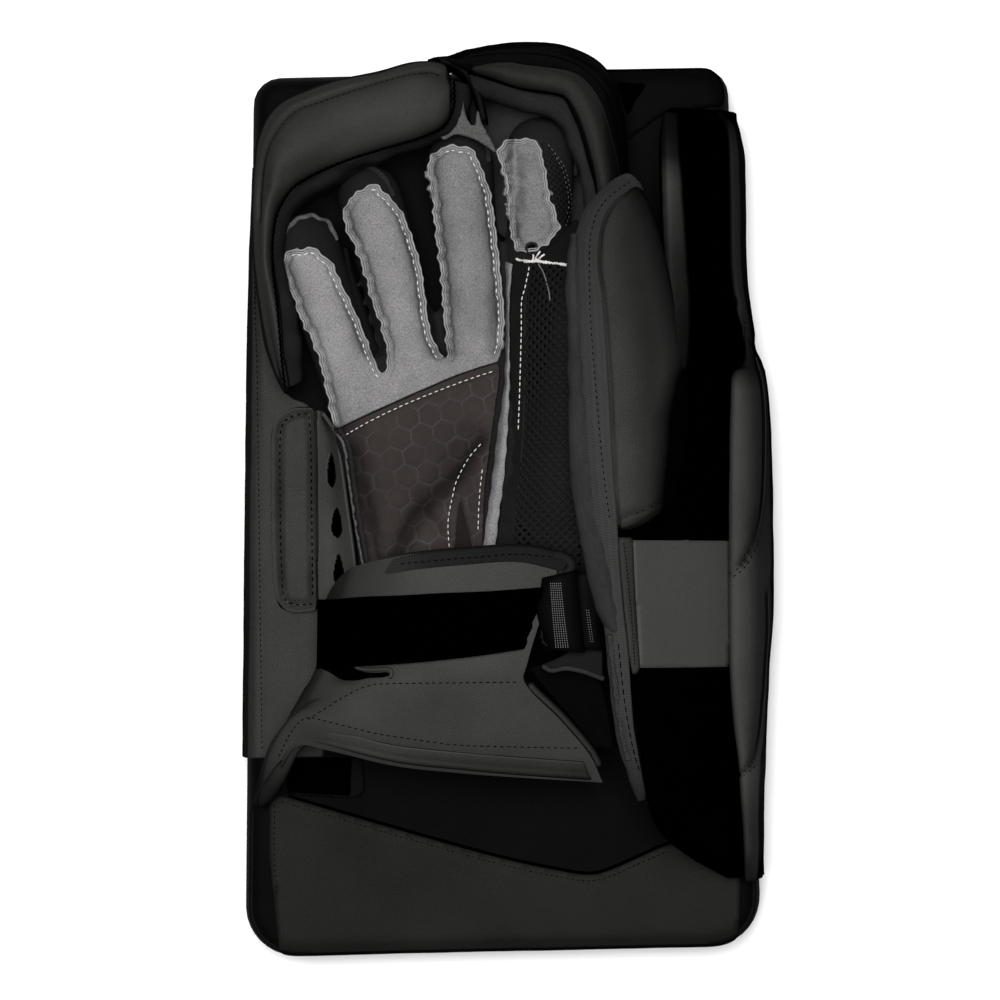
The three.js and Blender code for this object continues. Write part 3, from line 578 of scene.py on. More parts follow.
class Nodes:
    def __init__(self, name):
        self.material = bpy.data.materials.new(name)
        self.material.use_nodes = True
        self.tree = self.material.node_tree
        self.shader = self.tree.nodes["Principled BSDF"]
        self.x = -300
        self.places = self.add("ShaderNodeTexCoord").outputs

    def add(self, kind, **settings):
        node = self.tree.nodes.new(kind)
        node.location = (self.x, 0)
        self.x -= 180
        for key, value in settings.items():
            if hasattr(node, key):
                setattr(node, key, value)
            else:
                node.inputs[key.replace("_", " ")].default_value = value
        return node

    def join(self, output, socket):
        self.tree.links.new(output, socket)

    def feed(self, value, socket):
        # a plain number is set, anything else is joined
        if isinstance(value, (int, float)):
            socket.default_value = value
        else:
            self.join(value, socket)

    def texture(self, kind, **settings):
        # a texture over the piece's own places
        node = self.add("ShaderNodeTex" + kind, **settings)
        self.join(self.places["Object"], node.inputs["Vector"])
        return node

    def ramp(self, value, low, high, fromLow=0.0, fromHigh=1.0):
        node = self.add("ShaderNodeMapRange", From_Min=fromLow, From_Max=fromHigh, To_Min=low, To_Max=high)
        self.join(value, node.inputs["Value"])
        return node.outputs["Result"]

    def maths(self, kind, *values):
        node = self.add("ShaderNodeMath", operation=kind)
        for socket, value in zip(node.inputs, values):
            self.feed(value, socket)
        return node.outputs[0]

    def times(self, first, *others):
        for other in others:
            first = self.maths("MULTIPLY", first, other)
        return first

    def tint(self, color, amount):
        # multiplies a plain colour by a grey amount
        node = self.add("ShaderNodeVectorMath", operation="SCALE")
        node.inputs[0].default_value = color
        self.join(amount, node.inputs["Scale"])
        return node.outputs[0]

    def slope(self, flankShade, start, full):
        # painted shade: faces that stand upright are made darker, as if less light reached them
        split = self.add("ShaderNodeSeparateXYZ")
        self.join(self.places["Normal"], split.inputs[0])
        return self.ramp(split.outputs["Z"], flankShade, 1.0, start, full)

    def paintedShadeAndTone(self, tone):
        # painted light and shade, and some plain tone changes, that come with the mesh as a vertex value
        return self.times(tone, self.add("ShaderNodeAttribute", attribute_name="paintedShadeAndTone").outputs["Fac"])

    def bump(self, height, depth):
        node = self.add("ShaderNodeBump", Strength=1.0, Distance=depth * place["unit"])
        self.join(height, node.inputs["Height"])
        return node.outputs["Normal"]

    def cover(self, color, rough, gloss, normal):
        for key, value in (("Base Color", color), ("Roughness", rough), ("Specular IOR Level", gloss), ("Normal", normal)):
            self.feed(value, self.shader.inputs[key])
        return self.material


def leatherFinish(name, color, rough, gloss, mottled=0.18, flankShade=0.35, start=0.4, full=0.96, paintedShadeAndTone=False):
    made = Nodes(name)
    grain, depth = 1.1, 0.07
    cells = made.texture("Voronoi", feature="DISTANCE_TO_EDGE", Scale=1000 / grain, Randomness=1.0)
    fine = made.texture("Noise", Scale=1000 / (grain * 0.5), Detail=3.0, Roughness=0.6).outputs["Fac"]
    broad = made.texture("Noise", Scale=22.0, Detail=3.0, Roughness=0.55)
    creases = made.ramp(cells.outputs["Distance"], 0.0, 1.0, 0.0, 0.22)
    height = made.maths("ADD", made.times(creases, 0.7), made.times(fine, 0.5))
    # painted shade: the tone is darkened on upright faces
    tone = made.times(made.ramp(broad.outputs["Fac"], 1 - mottled, 1 + mottled, 0.3, 0.7), made.ramp(creases, 0.86, 1.04),
                      made.slope(flankShade, start, full))
    # painted shade: upright faces also lose their sheen
    shine = made.times(made.slope(0.0, start, full), gloss)
    # the mesh's painted light and shade value scales both colour and sheen
    if paintedShadeAndTone:
        tone, shine = made.paintedShadeAndTone(tone), made.paintedShadeAndTone(shine)
    return made.cover(made.tint(color, tone), made.ramp(fine, rough - 0.07, rough + 0.07, 0.3, 0.7), shine, made.bump(height, depth))


def napFinish(name, color, fleck=0.65, spread=0.4, paintedShadeAndTone=False):
    # suede: fine flecks, slow cloudy tone changes and painted shade on faces that stand upright
    made = Nodes(name)
    flecks = made.texture("Noise", Scale=1000 / fleck, Detail=4.0, Roughness=0.7).outputs["Fac"]
    clouds = made.texture("Noise", Scale=65.0, Detail=4.0, Roughness=0.6)
    tone = made.times(made.ramp(flecks, 1 - spread, 1 + spread, 0.32, 0.68), made.ramp(clouds.outputs["Fac"], 0.86, 1.12, 0.3, 0.7),
                      made.slope(0.45, 0.5, 0.95))
    tone = made.paintedShadeAndTone(tone) if paintedShadeAndTone else tone
    return made.cover(made.tint(color, tone), 0.95, 0.1, made.bump(flecks, 0.22))


def wovenFinish(name, color, pitch, depth, rough=0.8, gloss=0.15, contrast=0.35, paintedShadeAndTone=False):
    # threads across and along the piece, read from its own map in millimetres
    made = Nodes(name)
    split = made.add("ShaderNodeSeparateXYZ")
    made.join(made.add("ShaderNodeUVMap", uv_map="weave").outputs["UV"], split.inputs[0])
    across, along = [made.maths("SINE", made.times(split.outputs[axis], 2 * math.pi / step), 0.0) for axis, step in zip(("X", "Y"), pitch)]
    weave = made.maths("ADD", made.times(across, 0.35), made.times(along, 0.65))
    fuzz = made.texture("Noise", Scale=1500.0, Detail=2.0).outputs["Fac"]
    height = made.maths("ADD", made.ramp(weave, 0.0, 1.0, -1.0, 1.0), made.times(fuzz, 0.3))
    tone = made.times(made.ramp(weave, 1 - contrast, 1 + contrast, -1.0, 1.0), made.ramp(fuzz, 0.85, 1.15, 0.3, 0.7))
    tone = made.paintedShadeAndTone(tone) if paintedShadeAndTone else tone
    return made.cover(made.tint(color, tone), rough, gloss, made.bump(height, depth))


def knitFinish(name, color, loop=1.1, depth=0.12, rough=0.85, gloss=0.02):
    made = Nodes(name)
    loops = made.texture("Voronoi", feature="F1", Scale=1000 / loop, Randomness=0.35).outputs["Distance"]
    broad = made.texture("Noise", Scale=30.0, Detail=3.0)
    tone = made.times(made.ramp(loops, 1.2, 0.75, 0.0, 0.7), made.ramp(broad.outputs["Fac"], 0.85, 1.15, 0.3, 0.7))
    return made.cover(made.tint(color, tone), rough, gloss, made.bump(loops, depth))


def patchFinish(name, color, lineColor):
    # brown-grey palm cloth; the embossed lines come with the mesh as a vertex shade; upright faces get painted shade,
    # and the mesh's painted shade value darkens it further
    made = Nodes(name)
    weave = made.texture("Noise", Scale=1900.0, Detail=3.0, Roughness=0.6).outputs["Fac"]
    clouds = made.texture("Noise", Scale=40.0, Detail=3.0)
    lines = made.add("ShaderNodeAttribute", attribute_name="emboss").outputs["Fac"]
    tone = made.paintedShadeAndTone(made.times(made.ramp(weave, 0.82, 1.18, 0.3, 0.7), made.ramp(clouds.outputs["Fac"], 0.88, 1.12, 0.3, 0.7),
                                made.slope(0.4, 0.6, 0.99)))
    blend = made.add("ShaderNodeMix", data_type="RGBA")
    made.join(made.ramp(lines, 0.0, 0.8), blend.inputs[0])
    made.join(made.tint(color, tone), blend.inputs[6])
    made.join(made.tint(lineColor, tone), blend.inputs[7])
    return made.cover(blend.outputs[2], 0.7, 0.05, made.bump(weave, 0.12))


def plasticFinish(name, color, rough, gloss):
    made = Nodes(name)
    scuffs = made.texture("Noise", Scale=400.0, Detail=4.0).outputs["Fac"]
    return made.cover(made.tint(color, made.ramp(scuffs, 0.9, 1.1, 0.3, 0.7)), made.ramp(scuffs, rough - 0.06, rough + 0.1, 0.3, 0.7),
        gloss, made.bump(scuffs, 0.02))


tones = {"leather": (0.0175, 0.0175, 0.0167), "patchLeather": (0.036, 0.036, 0.0347), "cuffLeather": (0.0243, 0.0243, 0.0233),
    "padLeather": (0.0065, 0.0065, 0.0062), "lowerLeather": (0.0088, 0.0088, 0.0083), "boardLeather": (0.0018, 0.0018, 0.0018),
    "guardWall": (0.0021, 0.0021, 0.002), "litCrestLeather": (0.0113, 0.0113, 0.0108), "blackLeather": (0.00015, 0.00015, 0.00015),
    "suede": (0.152, 0.148, 0.149), "suedeEdge": (0.22, 0.216, 0.216), "patch": (0.0225, 0.0178, 0.017), "mesh": (0.0066, 0.0066, 0.0064),
    "knit": (0.0095, 0.0095, 0.0098), "lining": (0.0135, 0.0135, 0.0138), "binding": (0.021, 0.021, 0.0206),
    "cuffBand": (0.009, 0.009, 0.0088), "strap": (0.00008, 0.00008, 0.00008), "webbing": (0.0012, 0.0012, 0.00115),
    "plastic": (0.0008, 0.0008, 0.0009), "darkThread": (0.0008, 0.0008, 0.0008), "paleThread": (0.5, 0.49, 0.47),
    "greyThread": (0.11, 0.11, 0.11), }
leather = leatherFinish("leather", tones["leather"], 0.5, 0.066)
patchLeather = leatherFinish("side patch leather", tones["patchLeather"], 0.6, 0.1, mottled=0.06, flankShade=1.0)
cuffLeather = leatherFinish("cuff leather", tones["cuffLeather"], 0.55, 0.08, flankShade=0.5)
padLeather = leatherFinish("dark pad leather", tones["padLeather"], 0.5, 0.02)
lowerLeather = leatherFinish("lower leather", tones["lowerLeather"], 0.5, 0.024)
boardLeather = leatherFinish("board leather", tones["boardLeather"], 0.5, 0.007, flankShade=0.9, start=0.1)
guardWall = leatherFinish("index guard leather", tones["guardWall"], 0.5, 0.007, flankShade=0.6)
# a lighter copy of the index guard leather: painted light on the guard's crest, also used on the pad piping
litCrestLeather = leatherFinish("index guard crest leather", tones["litCrestLeather"], 0.5, 0.035, flankShade=0.3, start=0.2)
trimLeather = leatherFinish("trim leather", (0.0035, 0.0035, 0.0033), 0.5, 0.01)
blackLeather = leatherFinish("black leather", tones["blackLeather"], 0.7, 0.0, mottled=0.1)
suede = napFinish("grey suede", tones["suede"], paintedShadeAndTone=True)
suedeEdge = napFinish("suede edge", tones["suedeEdge"], 0.6, 0.25)
leafLeather = leatherFinish("thumb guard leather", tones["leather"], 0.5, 0.07, flankShade=0.6, start=0.3, full=0.9, paintedShadeAndTone=True)
bandLeather = leatherFinish("side band leather", (0.031, 0.031, 0.0298), 0.55, 0.08, flankShade=0.6)
padCover = leatherFinish("outer pad leather", (0.026, 0.026, 0.0249), 0.55, 0.08, flankShade=0.3, start=0.3, paintedShadeAndTone=True)
upperCover = leatherFinish("upper pad leather", (0.0088, 0.0088, 0.0084), 0.5, 0.027, flankShade=0.3, paintedShadeAndTone=True)
stripCover = leatherFinish("crest strip leather", tones["cuffLeather"], 0.55, 0.08, flankShade=0.3, paintedShadeAndTone=True)
cuffCover = leatherFinish("cuff cover leather", tones["cuffLeather"], 0.55, 0.08, flankShade=0.5, paintedShadeAndTone=True)
tongueCloth = napFinish("tongue cloth", (0.0052, 0.005, 0.005), 0.5, 0.15)
tongueHem = napFinish("tongue hem", (0.017, 0.0165, 0.0165), 0.5, 0.3)
rawBinding = napFinish("raw binding", (0.021, 0.0206, 0.0204), 0.9, 0.5)
patchCloth = patchFinish("palm cloth", tones["patch"], (0.052, 0.049, 0.048))
meshCloth = knitFinish("mesh cloth", tones["mesh"], 0.7, 0.1, 0.5, 0.03)
knit = knitFinish("glove back", tones["knit"], 0.8, 0.06)
lining = knitFinish("lining cloth", tones["lining"], 0.8, 0.08)
deepCloth = knitFinish("deep cloth", (0.0012, 0.0012, 0.0012))
darkLining = knitFinish("dark lining", (0.0045, 0.0045, 0.0046), 0.8, 0.08)
paleLining = knitFinish("pale lining", (0.0215, 0.0215, 0.0213), 0.8, 0.05)
rawCloth = napFinish("raw lining edge", (0.062, 0.061, 0.06), 0.8, 0.4)
binding = wovenFinish("ribbed binding", tones["binding"], (2.6, 1.25), 0.12, contrast=0.2, paintedShadeAndTone=True)
cuffBand = wovenFinish("cuff band", tones["cuffBand"], (1.2, 1.2), 0.15, 0.6, 0.03, contrast=0.3, paintedShadeAndTone=True)
loopWeb = wovenFinish("loop webbing", tones["webbing"], (1.0, 0.9), 0.05, 0.5, 0.012, 0.12)
strapWeb = wovenFinish("black webbing", tones["strap"], (1.2, 1.0), 0.12, 0.9, 0.0)
plastic = plasticFinish("black plastic", tones["plastic"], 0.4, 0.02)
darkThread = wovenFinish("dark thread", tones["darkThread"], (0.5, 0.5), 0.02, 0.9, 0.0)
paleThread = wovenFinish("pale thread", tones["paleThread"], (0.5, 0.5), 0.02, 0.9, 0.1, 0.1)
greyThread = wovenFinish("grey thread", tones["greyThread"], (0.5, 0.5), 0.02, 0.9, 0.1, 0.1)
print("finishes made")

# Board

boardSize = {"topY": 185.0, "bottomY": -195.5, "topHalf": 103.0, "leftHalf": 114.2, "rightHalf": 108.8,
             "topCorner": 12.0, "bottomCorner": 22.0}
edgeShape = [(11.5, 0.0), (9.5, 0.0), (6.4, 0.0), (4.6, 0.3), (2.4, 2.0), (0.9, 5.0), (0.1, 9.5), (0.0, 14.0), (0.3, 19.0),
             (1.0, 24.0), (1.9, 28.0), (3.2, 31.2), (5.0, 33.3), (7.4, 34.0), (9.5, 34.0), (11.5, 34.0)]


def boardOutline(inset, spacing=4.0):
    b = boardSize
    corners = [((b["topHalf"], b["topY"]), b["topCorner"], 0), ((-b["topHalf"], b["topY"]), b["topCorner"], 90),
               ((-b["leftHalf"], b["bottomY"]), b["bottomCorner"], 180),
               ((b["rightHalf"], b["bottomY"]), b["bottomCorner"], 270)]
    points = []
    for (x, y), radius, start in corners:
        cx, cy = x - math.copysign(radius, x), y - math.copysign(radius, y)
        for k in range(9):
            a = math.radians(start + 90 * k / 8)
            points.append((cx + (radius - inset) * math.cos(a), cy + (radius - inset) * math.sin(a)))
    line = np.array(points + points[:1])
    run = runOf(line)
    around = 1180  # the board's rim in millimetres
    where = np.linspace(0, run[-1], int(around / spacing) + 1)
    return np.stack([np.interp(where, run, line[:, k]) for k in range(2)], axis=1)


def boardSide(y):
    b = boardSize
    t = (y - b["bottomY"] - b["bottomCorner"]) / (b["topY"] - b["topCorner"] - b["bottomY"] - b["bottomCorner"])
    return -(b["leftHalf"] + (b["topHalf"] - b["leftHalf"]) * t), b["rightHalf"] + (b["topHalf"] - b["rightHalf"]) * t


rings = [np.column_stack([boardOutline(inset), np.full(len(boardOutline(inset)), z)]) for inset, z in edgeShape]
board = gridPiece("mainBoard", np.array(rings), boardLeather, rolled=True, caps=True)
addPiece(board, ["main_board"])
boardTree = treeOf(board)

# The lower panel laps over the board's lower end. Its top edge is the long slanted seam.
lowerSeam = [(-97, -124.5), (-71.6, -132.6), (-37.6, -143.3), (-3.5, -153.5), (22.1, -159.6), (34.9, -161.6),
             (43.6, -159.7), (56.5, -154.4), (67.4, -149.9), (80, -147), (97, -147)]
lowEdge = boardOutline(1.2, 2.0)
lowEdge = lowEdge[(lowEdge[:, 1] < -150)]
lowEdge = lowEdge[np.argsort(np.arctan2(lowEdge[:, 1] + 150, lowEdge[:, 0]))]
panelSides = [np.array([(-101.6, -126), (-102.4, -150)]), np.array([(99.5, -165), (98.5, -149)])]
innerLow = lowEdge[(np.abs(lowEdge[:, 0]) < 99)]
innerLow = innerLow[np.argsort(innerLow[:, 0])]
panelOutline = np.vstack([panelSides[0], innerLow, panelSides[1], evenly(lowerSeam, 2.0)[::-1]])
lowerPanel = cutSheet("lowerPanel", panelOutline, 2.4, lowerLeather, boardTree, 1.5, steep=8.0)
crumple(lowerPanel, 0.25, 30, 2.0)
seamLine = evenly(lowerSeam, 2.0)
press(lowerPanel, seamLine + [0, -2.6], 1.8, 0.5)
thicken(lowerPanel, 1.3)
cordOn("panelPiping", boardTree, seamLine[2:-3] + [0, 0.7], 0.7, 0, 0.7, 0.8, blackLeather, 8)
addPiece(lowerPanel, ["lower_panel"])
sideTrim = boardOutline(3.4, 2.0)
trimParts = {"leftTrim": (sideTrim[:, 0] < -84) & (sideTrim[:, 1] < -131), "rightTrim": (sideTrim[:, 0] > 84) & (sideTrim[:, 1] < -158)}
for name, part in trimParts.items():
    line = sideTrim[part]
    line = line[np.argsort(line[:, 1])]
    cordOn(name, boardTree, line, -0.2, 3, 1.1, 1.1, trimLeather, 8, 32)
panelTree = treeOf(lowerPanel)

# The leather sleeve over the little-finger edge
wrapRows = [(-108.3, 27), (-104, 27.6), (-60, 27), (0, 25), (38, 22), (46, 12), (54, 6.4), (75, 2.4), (110, 1.6), (146, 1.0)]
wrapCurves = []
for inset, z in [(1.0, 6.0)] + [(i, z) for i, z in edgeShape if 9 < z < 34]:
    wrapCurves.append([(boardSide(y)[0] + inset - np.interp(y, [60, 120, 146], [2.2, 1.2, 0.3]), y,
        z + (0.5 if z > 28 else 0) + (1.2 if z > 32 else 0)) for y, _ in wrapRows])
for share in (0.0, 0.3, 0.7, 1.0):
    wrapCurves.append([(boardSide(y)[0] + 6.6 + reach * share, y, 36.3) for y, reach in wrapRows])
edgeWrap = gridPiece("edgeWrap", netOf(wrapCurves, 40, 130), leather, facing="up")
crumple(edgeWrap, 0.3, 24, 9.0, -1.0)
wrapStitch = [(-103.2, 120), (-103.4, 88.1), (-103.0, 70.9), (-102.9, 53.8), (-103.2, 23.8), (-103.4, -6.2), (-103.8, -40.5),
              (-104.1, -74.8), (-104.4, -106)]
press(edgeWrap, evenly(wrapStitch, 2.0), 1.6, 0.55)
thicken(edgeWrap, 2.0)
addPiece(edgeWrap, ["edge_wrap"])
wrapTree = treeOf(edgeWrap)

# The stitched tab, and the soft band from it to the glove with its three slots
tabOutline = evenly([(-96.9, 30), (-95.4, 36.4), (-91.9, 39.9), (-86, 41.3), (-79.6, 41.2)], 1.5)
tabOutline = np.vstack([tabOutline, evenly([(-79.2, 40.6), (-78.9, 20), (-79.3, -10), (-79.8, -44.6)], 2.0),
                        evenly([(-80.4, -45.5), (-86, -46), (-91.2, -45.6), (-95.2, -42.0), (-97.2, -36), (-97.8, -20), (-97.4, 10),
                                (-97.0, 28)], 1.5)])
sideTab = cutSheet("sideTab", tabOutline, 1.3, leather, wrapTree, 3.4, 36.5)
tabSeam = [(-80.8, 38.6), (-86.5, 38.3), (-91.0, 36.0), (-93.3, 31.0), (-93.9, 10.7), (-94.3, -14.9), (-93.7, -37.5),
           (-91.6, -41.9), (-86.5, -42.9), (-81.4, -42.6)]
tabSeamRight = [(-80.8, 38.2), (-80.4, 23.2), (-80.7, -6.8), (-81.0, -40.5)]
for line in (tabSeam, tabSeamRight):
    press(sideTab, evenly(line, 1.0), 2.4, 1.7)
crumple(sideTab, 0.35, 9, 4.0)
thicken(sideTab, 3.0)
softEdge(sideTab, 0.7)
addPiece(sideTab, ["side_tab"])

bandTop = [(-79.0, 40.2), (-77, 39.7), (-73.8, 36.7), (-71.4, 32.3), (-69.2, 28.5), (-68.0, 20), (-66.5, 8), (-65.1, -4), (-63.6, -16),
           (-62.4, -28.4), (-61.5, -40)]
bandCurves = [[(-79.4, y, 37.2) for y in np.linspace(40.2, -43, 9)], [(-76.0, y, 38.6) for y in np.linspace(40.0, -43, 9)],
              [(x * 0.45 - 79.0 * 0.55 + 2, y, 41.5) for x, y in readLine(bandTop, np.linspace(0.05, 1, 9))],
              [(x, y, 47.5) for x, y in readLine(bandTop, np.linspace(0.05, 1, 9))]]
sideBand = gridPiece("sideBand", netOf(bandCurves, 34, 150), bandLeather, facing="up")
bandBacking = gridPiece("bandBacking", netOf([[(x + 0.6, y, z - 3.4) for x, y, z in c] for c in bandCurves[1:]], 10, 40), blackLeather,
    facing="up")
thicken(bandBacking, 0.6)
addPiece(bandBacking, ())
slots = [{"x": -72.0, "y": 14.5, "half": 7.4, "wide": 1.9}, {"x": -70.2, "y": -8.0, "half": 6.6, "wide": 2.3},
         {"x": -69.8, "y": -28.6, "half": 7.2, "wide": 2.1}]
bm = bmesh.new()
bm.from_mesh(sideBand.data)
gone = []
for f in bm.faces:
    c = f.calc_center_median() / place["unit"]
    for s in slots:
        dy = (c.y - place["y"] - s["y"]) / s["half"]
        if abs(dy) < 1 and abs(c.x - place["x"] - s["x"]) < s["wide"] * math.sqrt(1 - dy * dy) * (1 - 0.35 * dy):
            gone.append(f)
            break
bmesh.ops.delete(bm, geom=gone, context="FACES")
rim = [v for v in bm.verts if v.is_boundary]
bmesh.ops.smooth_vert(bm, verts=rim, factor=0.5, use_axis_x=True, use_axis_y=True)
bm.to_mesh(sideBand.data)
bm.free()
thicken(sideBand, 1.6)
addPiece(sideBand, ["side_band"])

# The plain label on the board, and the leather panel at the board's upper end
labelPatchOutline = np.vstack([[(-94.2, -108.8), (-62.5, -108.8), (-61.2, -110.0), (-60.8, -121)],
    evenly([(-61.2, -123.6), (-62.6, -125.6), (-65, -126.4)], 1.0), [(-67, -126.6), (-94.2, -124.2)]])
labelPatch = cutSheet("labelPatch", labelPatchOutline, 1.6, leatherFinish("label leather", (0.0026, 0.0026, 0.0026), 0.55, 0.01), boardTree,
    0.9)
thicken(labelPatch, 0.7)
addPiece(labelPatch, ())
labelOutline = [(-93.9, -108.9), (-66.2, -108.9), (-66.3, -112), (-67.0, -124.0), (-67.6, -125.2), (-93.8, -123.2)]
innerLabel = cutSheet("innerLabel", labelOutline, 1.6, blackLeather, boardTree, 1.8)
thicken(innerLabel, 0.7)
addPiece(innerLabel, ["inner_label"])
topOutline = np.vstack([evenly([(50, 147), (57.9, 152.6), (66, 158.6), (74.0, 163.8), (79, 164.7), (85.2, 165.2), (95.9, 166.7), (99, 167)],
    2), [(100.5, 170), (100.0, 176)], evenly([(98, 180.5), (94, 183.4), (88, 183.8)], 2), [(50, 184.0)]])
topPanel = cutSheet("topPanel", topOutline, 2.0, leatherFinish("upper board leather", (0.0016, 0.0016, 0.0015), 0.5, 0.006), boardTree, 1.3)
darkCorner = cutSheet("darkCorner", evenly([(54.2, 177.5), (60.4, 177.3), (66.4, 176.7), (62.4, 170.4), (58.4, 163.9), (56.2, 170.6)], 1.0,
    closed=True), 0.9, blackLeather, treeOf(topPanel), 0.4)
thicken(darkCorner, 0.4)
addPiece(darkCorner, ())
thicken(topPanel, 1.1)
addPiece(topPanel, ())
print("board and its covers made")

# Guards round the fingertips

# Each row pairs a place on the outer line with one on the inner line, then the height of the top
fingerGuardRows = [(-91.6, 47.2, -87.4, 47.6, 60), (-94.4, 53.4, -88.8, 54, 66), (-98.0, 65.6, -90.0, 65.6, 70),
    (-100.6, 82.6, -90.8, 80, 73), (-102.4, 103.8, -93.2, 101.4, 75), (-102.2, 126, -91.6, 118.5, 77), (-101.2, 142, -88.4, 126.6, 78.5),
    (-98.4, 157, -83.2, 133.2, 80), (-90.6, 168.6, -76.6, 136.9, 80.5), (-79, 174.8, -68.6, 140.2, 80.5),
    (-64.4, 179.4, -57.6, 144.2, 80.5), (-48, 182.9, -44, 148.2, 80.5), (-34.6, 186.3, -31.8, 151.5, 80.5),
    (-26, 187.0, -23.4, 155.0, 80.2), (-21.2, 186.6, -18.6, 158.2, 79.6), (-18.2, 185.8, -16.2, 162.2, 78.6),
    (-16.6, 184.6, -15.2, 166.4, 77.4)]


def fingerGuardSection(wide, top):
    wall = min(9.0, wide - 0.8)
    seam = min(6.8, wide * 0.36)
    return [(1.2, 34.5), (wall * 0.6, 34.2), (wall, 34.6), (wall, top - 24), (wall + (wide - wall) * 0.1, top - 15.5),
            (wall + (wide - wall) * 0.5, top - 13), (wide - wide * 0.05, top - 11.6), (wide, top - 8.2), (wide * 0.985, top - 4.4),
            (wide * 0.87, top - 1.2), (wide * 0.64, top), (seam + (wide - seam) * 0.28, top - 0.8), (seam + wide * 0.04, top - 3.0),
            (seam * 0.9, top - 4.6), (seam * 0.5, top - 5.4), (seam * 0.14, top - 10), (0.2, top - 20), (0.2, 46)]


fingerGuard = sweptPad("fingerGuard", fingerGuardRows, fingerGuardSection, leather, 3.0, 52, (7, 4))
puff(fingerGuard, 3.5, 1.2)
refine(fingerGuard)
guardSeam = [(-98.6, 120), (-97.6, 135), (-95.2, 147), (-90.3, 157.0), (-81.9, 165.6), (-73, 168.8), (-64.2, 171.6), (-52.7, 175.2),
    (-36.2, 179.5), (-25.5, 180.6), (-20.8, 179.2)]
press(fingerGuard, evenly(guardSeam, 1.5), 1.7, 1.3)
crumple(fingerGuard, 0.3, 16, 1.0)
addPiece(fingerGuard, ["finger_guard"])

indexGuardRows = [(-27.6, 187.3, -26.6, 185.4, 62), (-22.4, 188.9, -19.0, 185.0, 67), (-16.2, 190.2, -9.6, 180.2, 71),
    (-10.4, 192.3, -4.8, 178.0, 75), (0, 193.9, 2.6, 175.4, 78), (10, 194.5, 11.6, 172.4, 79), (20, 194.2, 20.4, 170.6, 79.5),
    (29.4, 193.1, 27.2, 169.6, 79.5), (38.4, 190.0, 31.6, 167.8, 79.5), (46, 185.6, 33.8, 163.6, 79.5), (51.8, 178.8, 35.6, 159.4, 79.5),
    (55, 170, 37.4, 155, 79.5), (57, 159, 39.0, 149.4, 79.5), (57.9, 146, 40.6, 142.4, 79.5), (57.9, 133, 42.9, 133.6, 79),
    (57.2, 121, 44.6, 123, 77.5), (56.4, 110, 45.6, 112, 75)]


def indexGuardSection(wide, top):
    return [(wide * 0.62, 34.4), (wide * 0.85, 34.3), (wide - 1.2, 35), (wide * 0.86, 45), (wide * 0.8, 56), (wide * 0.84, top - 16.6),
        (wide * 0.93, top - 11.4), (wide, top - 5.6), (wide * 0.975, top - 2.3), (wide * 0.88, top - 0.5), (wide * 0.7, top),
        (wide * 0.54, top - 1.9), (wide * 0.42, top - 6.4), (wide * 0.24, top - 14), (wide * 0.06, top - 24), (0, 51), (wide * 0.12, 43),
        (wide * 0.36, 36.6)]


indexGuard = sweptPad("indexGuard", indexGuardRows, indexGuardSection, guardWall, 3.0, 52, (8, 5))
puff(indexGuard, 3.5, 1.2)
refine(indexGuard)
indexSeams = [([(-10, 182.0), (4.2, 183.6), (20.9, 182.4), (33.3, 178.6), (42.3, 171.0), (48.4, 160.1), (51.9, 147.3), (54.1, 133.4),
    (54, 118)], 1.8, 1.3), ([(-8.4, 186.9), (4.3, 188.5), (21.1, 187.9), (34.5, 183.8), (45.3, 175.9), (51.4, 165.3), (54.6, 150)], 1.4,
    0.35)]
for line, width, depth in indexSeams:
    press(indexGuard, evenly(line, 1.5), width, depth)
crumple(indexGuard, 0.45, 13, 6.0)
addPiece(indexGuard, ["index_guard"])
# a lighter leather sheet laid along the guard's crest: painted light where the crest faces the lamp
crestLine = [(-7.4, 180.6), (3.6, 179.6), (14, 177.0), (24, 175.4), (33.4, 173.0), (39.4, 166.6), (43.0, 158.4), (45.6, 149.4),
    (48.0, 138.6), (49.4, 126), (50.2, 114)]
guardTree = treeOf(indexGuard)
crestSpots = []
crestRun = evenly(crestLine, 1.6)
ahead, side, _ = frameAlong(np.column_stack([crestRun, np.zeros(len(crestRun))]))
crestWide = np.interp(np.linspace(0, 1, len(crestRun)), [0, 0.15, 0.5, 0.9, 1], [1.2, 5.2, 6.0, 6.0, 4.8])
for i in range(len(crestRun)):
    line = []
    for t in np.linspace(-1, 1, 15):
        spot, _ = under(guardTree, *(crestRun[i] + side[i, :2] * t * crestWide[i]))
        line.append(spot if spot is not None else (line[-1] if line else np.array([crestRun[i, 0], crestRun[i, 1], 76])))
    line = np.array(line)
    line[:, 2] += 0.7 + 0.5 * np.cos(np.linspace(-1, 1, 15) * 1.4)
    crestSpots.append(line)
crestSpots = np.array(crestSpots)
for k in range(15):
    crestSpots[:, k, 2] = rolling(crestSpots[:, k, 2], 2)
litCrestSheet = gridPiece("indexCrestLitSheet", crestSpots, litCrestLeather, facing="up")
thicken(litCrestSheet, 1.0)
addPiece(litCrestSheet, ())

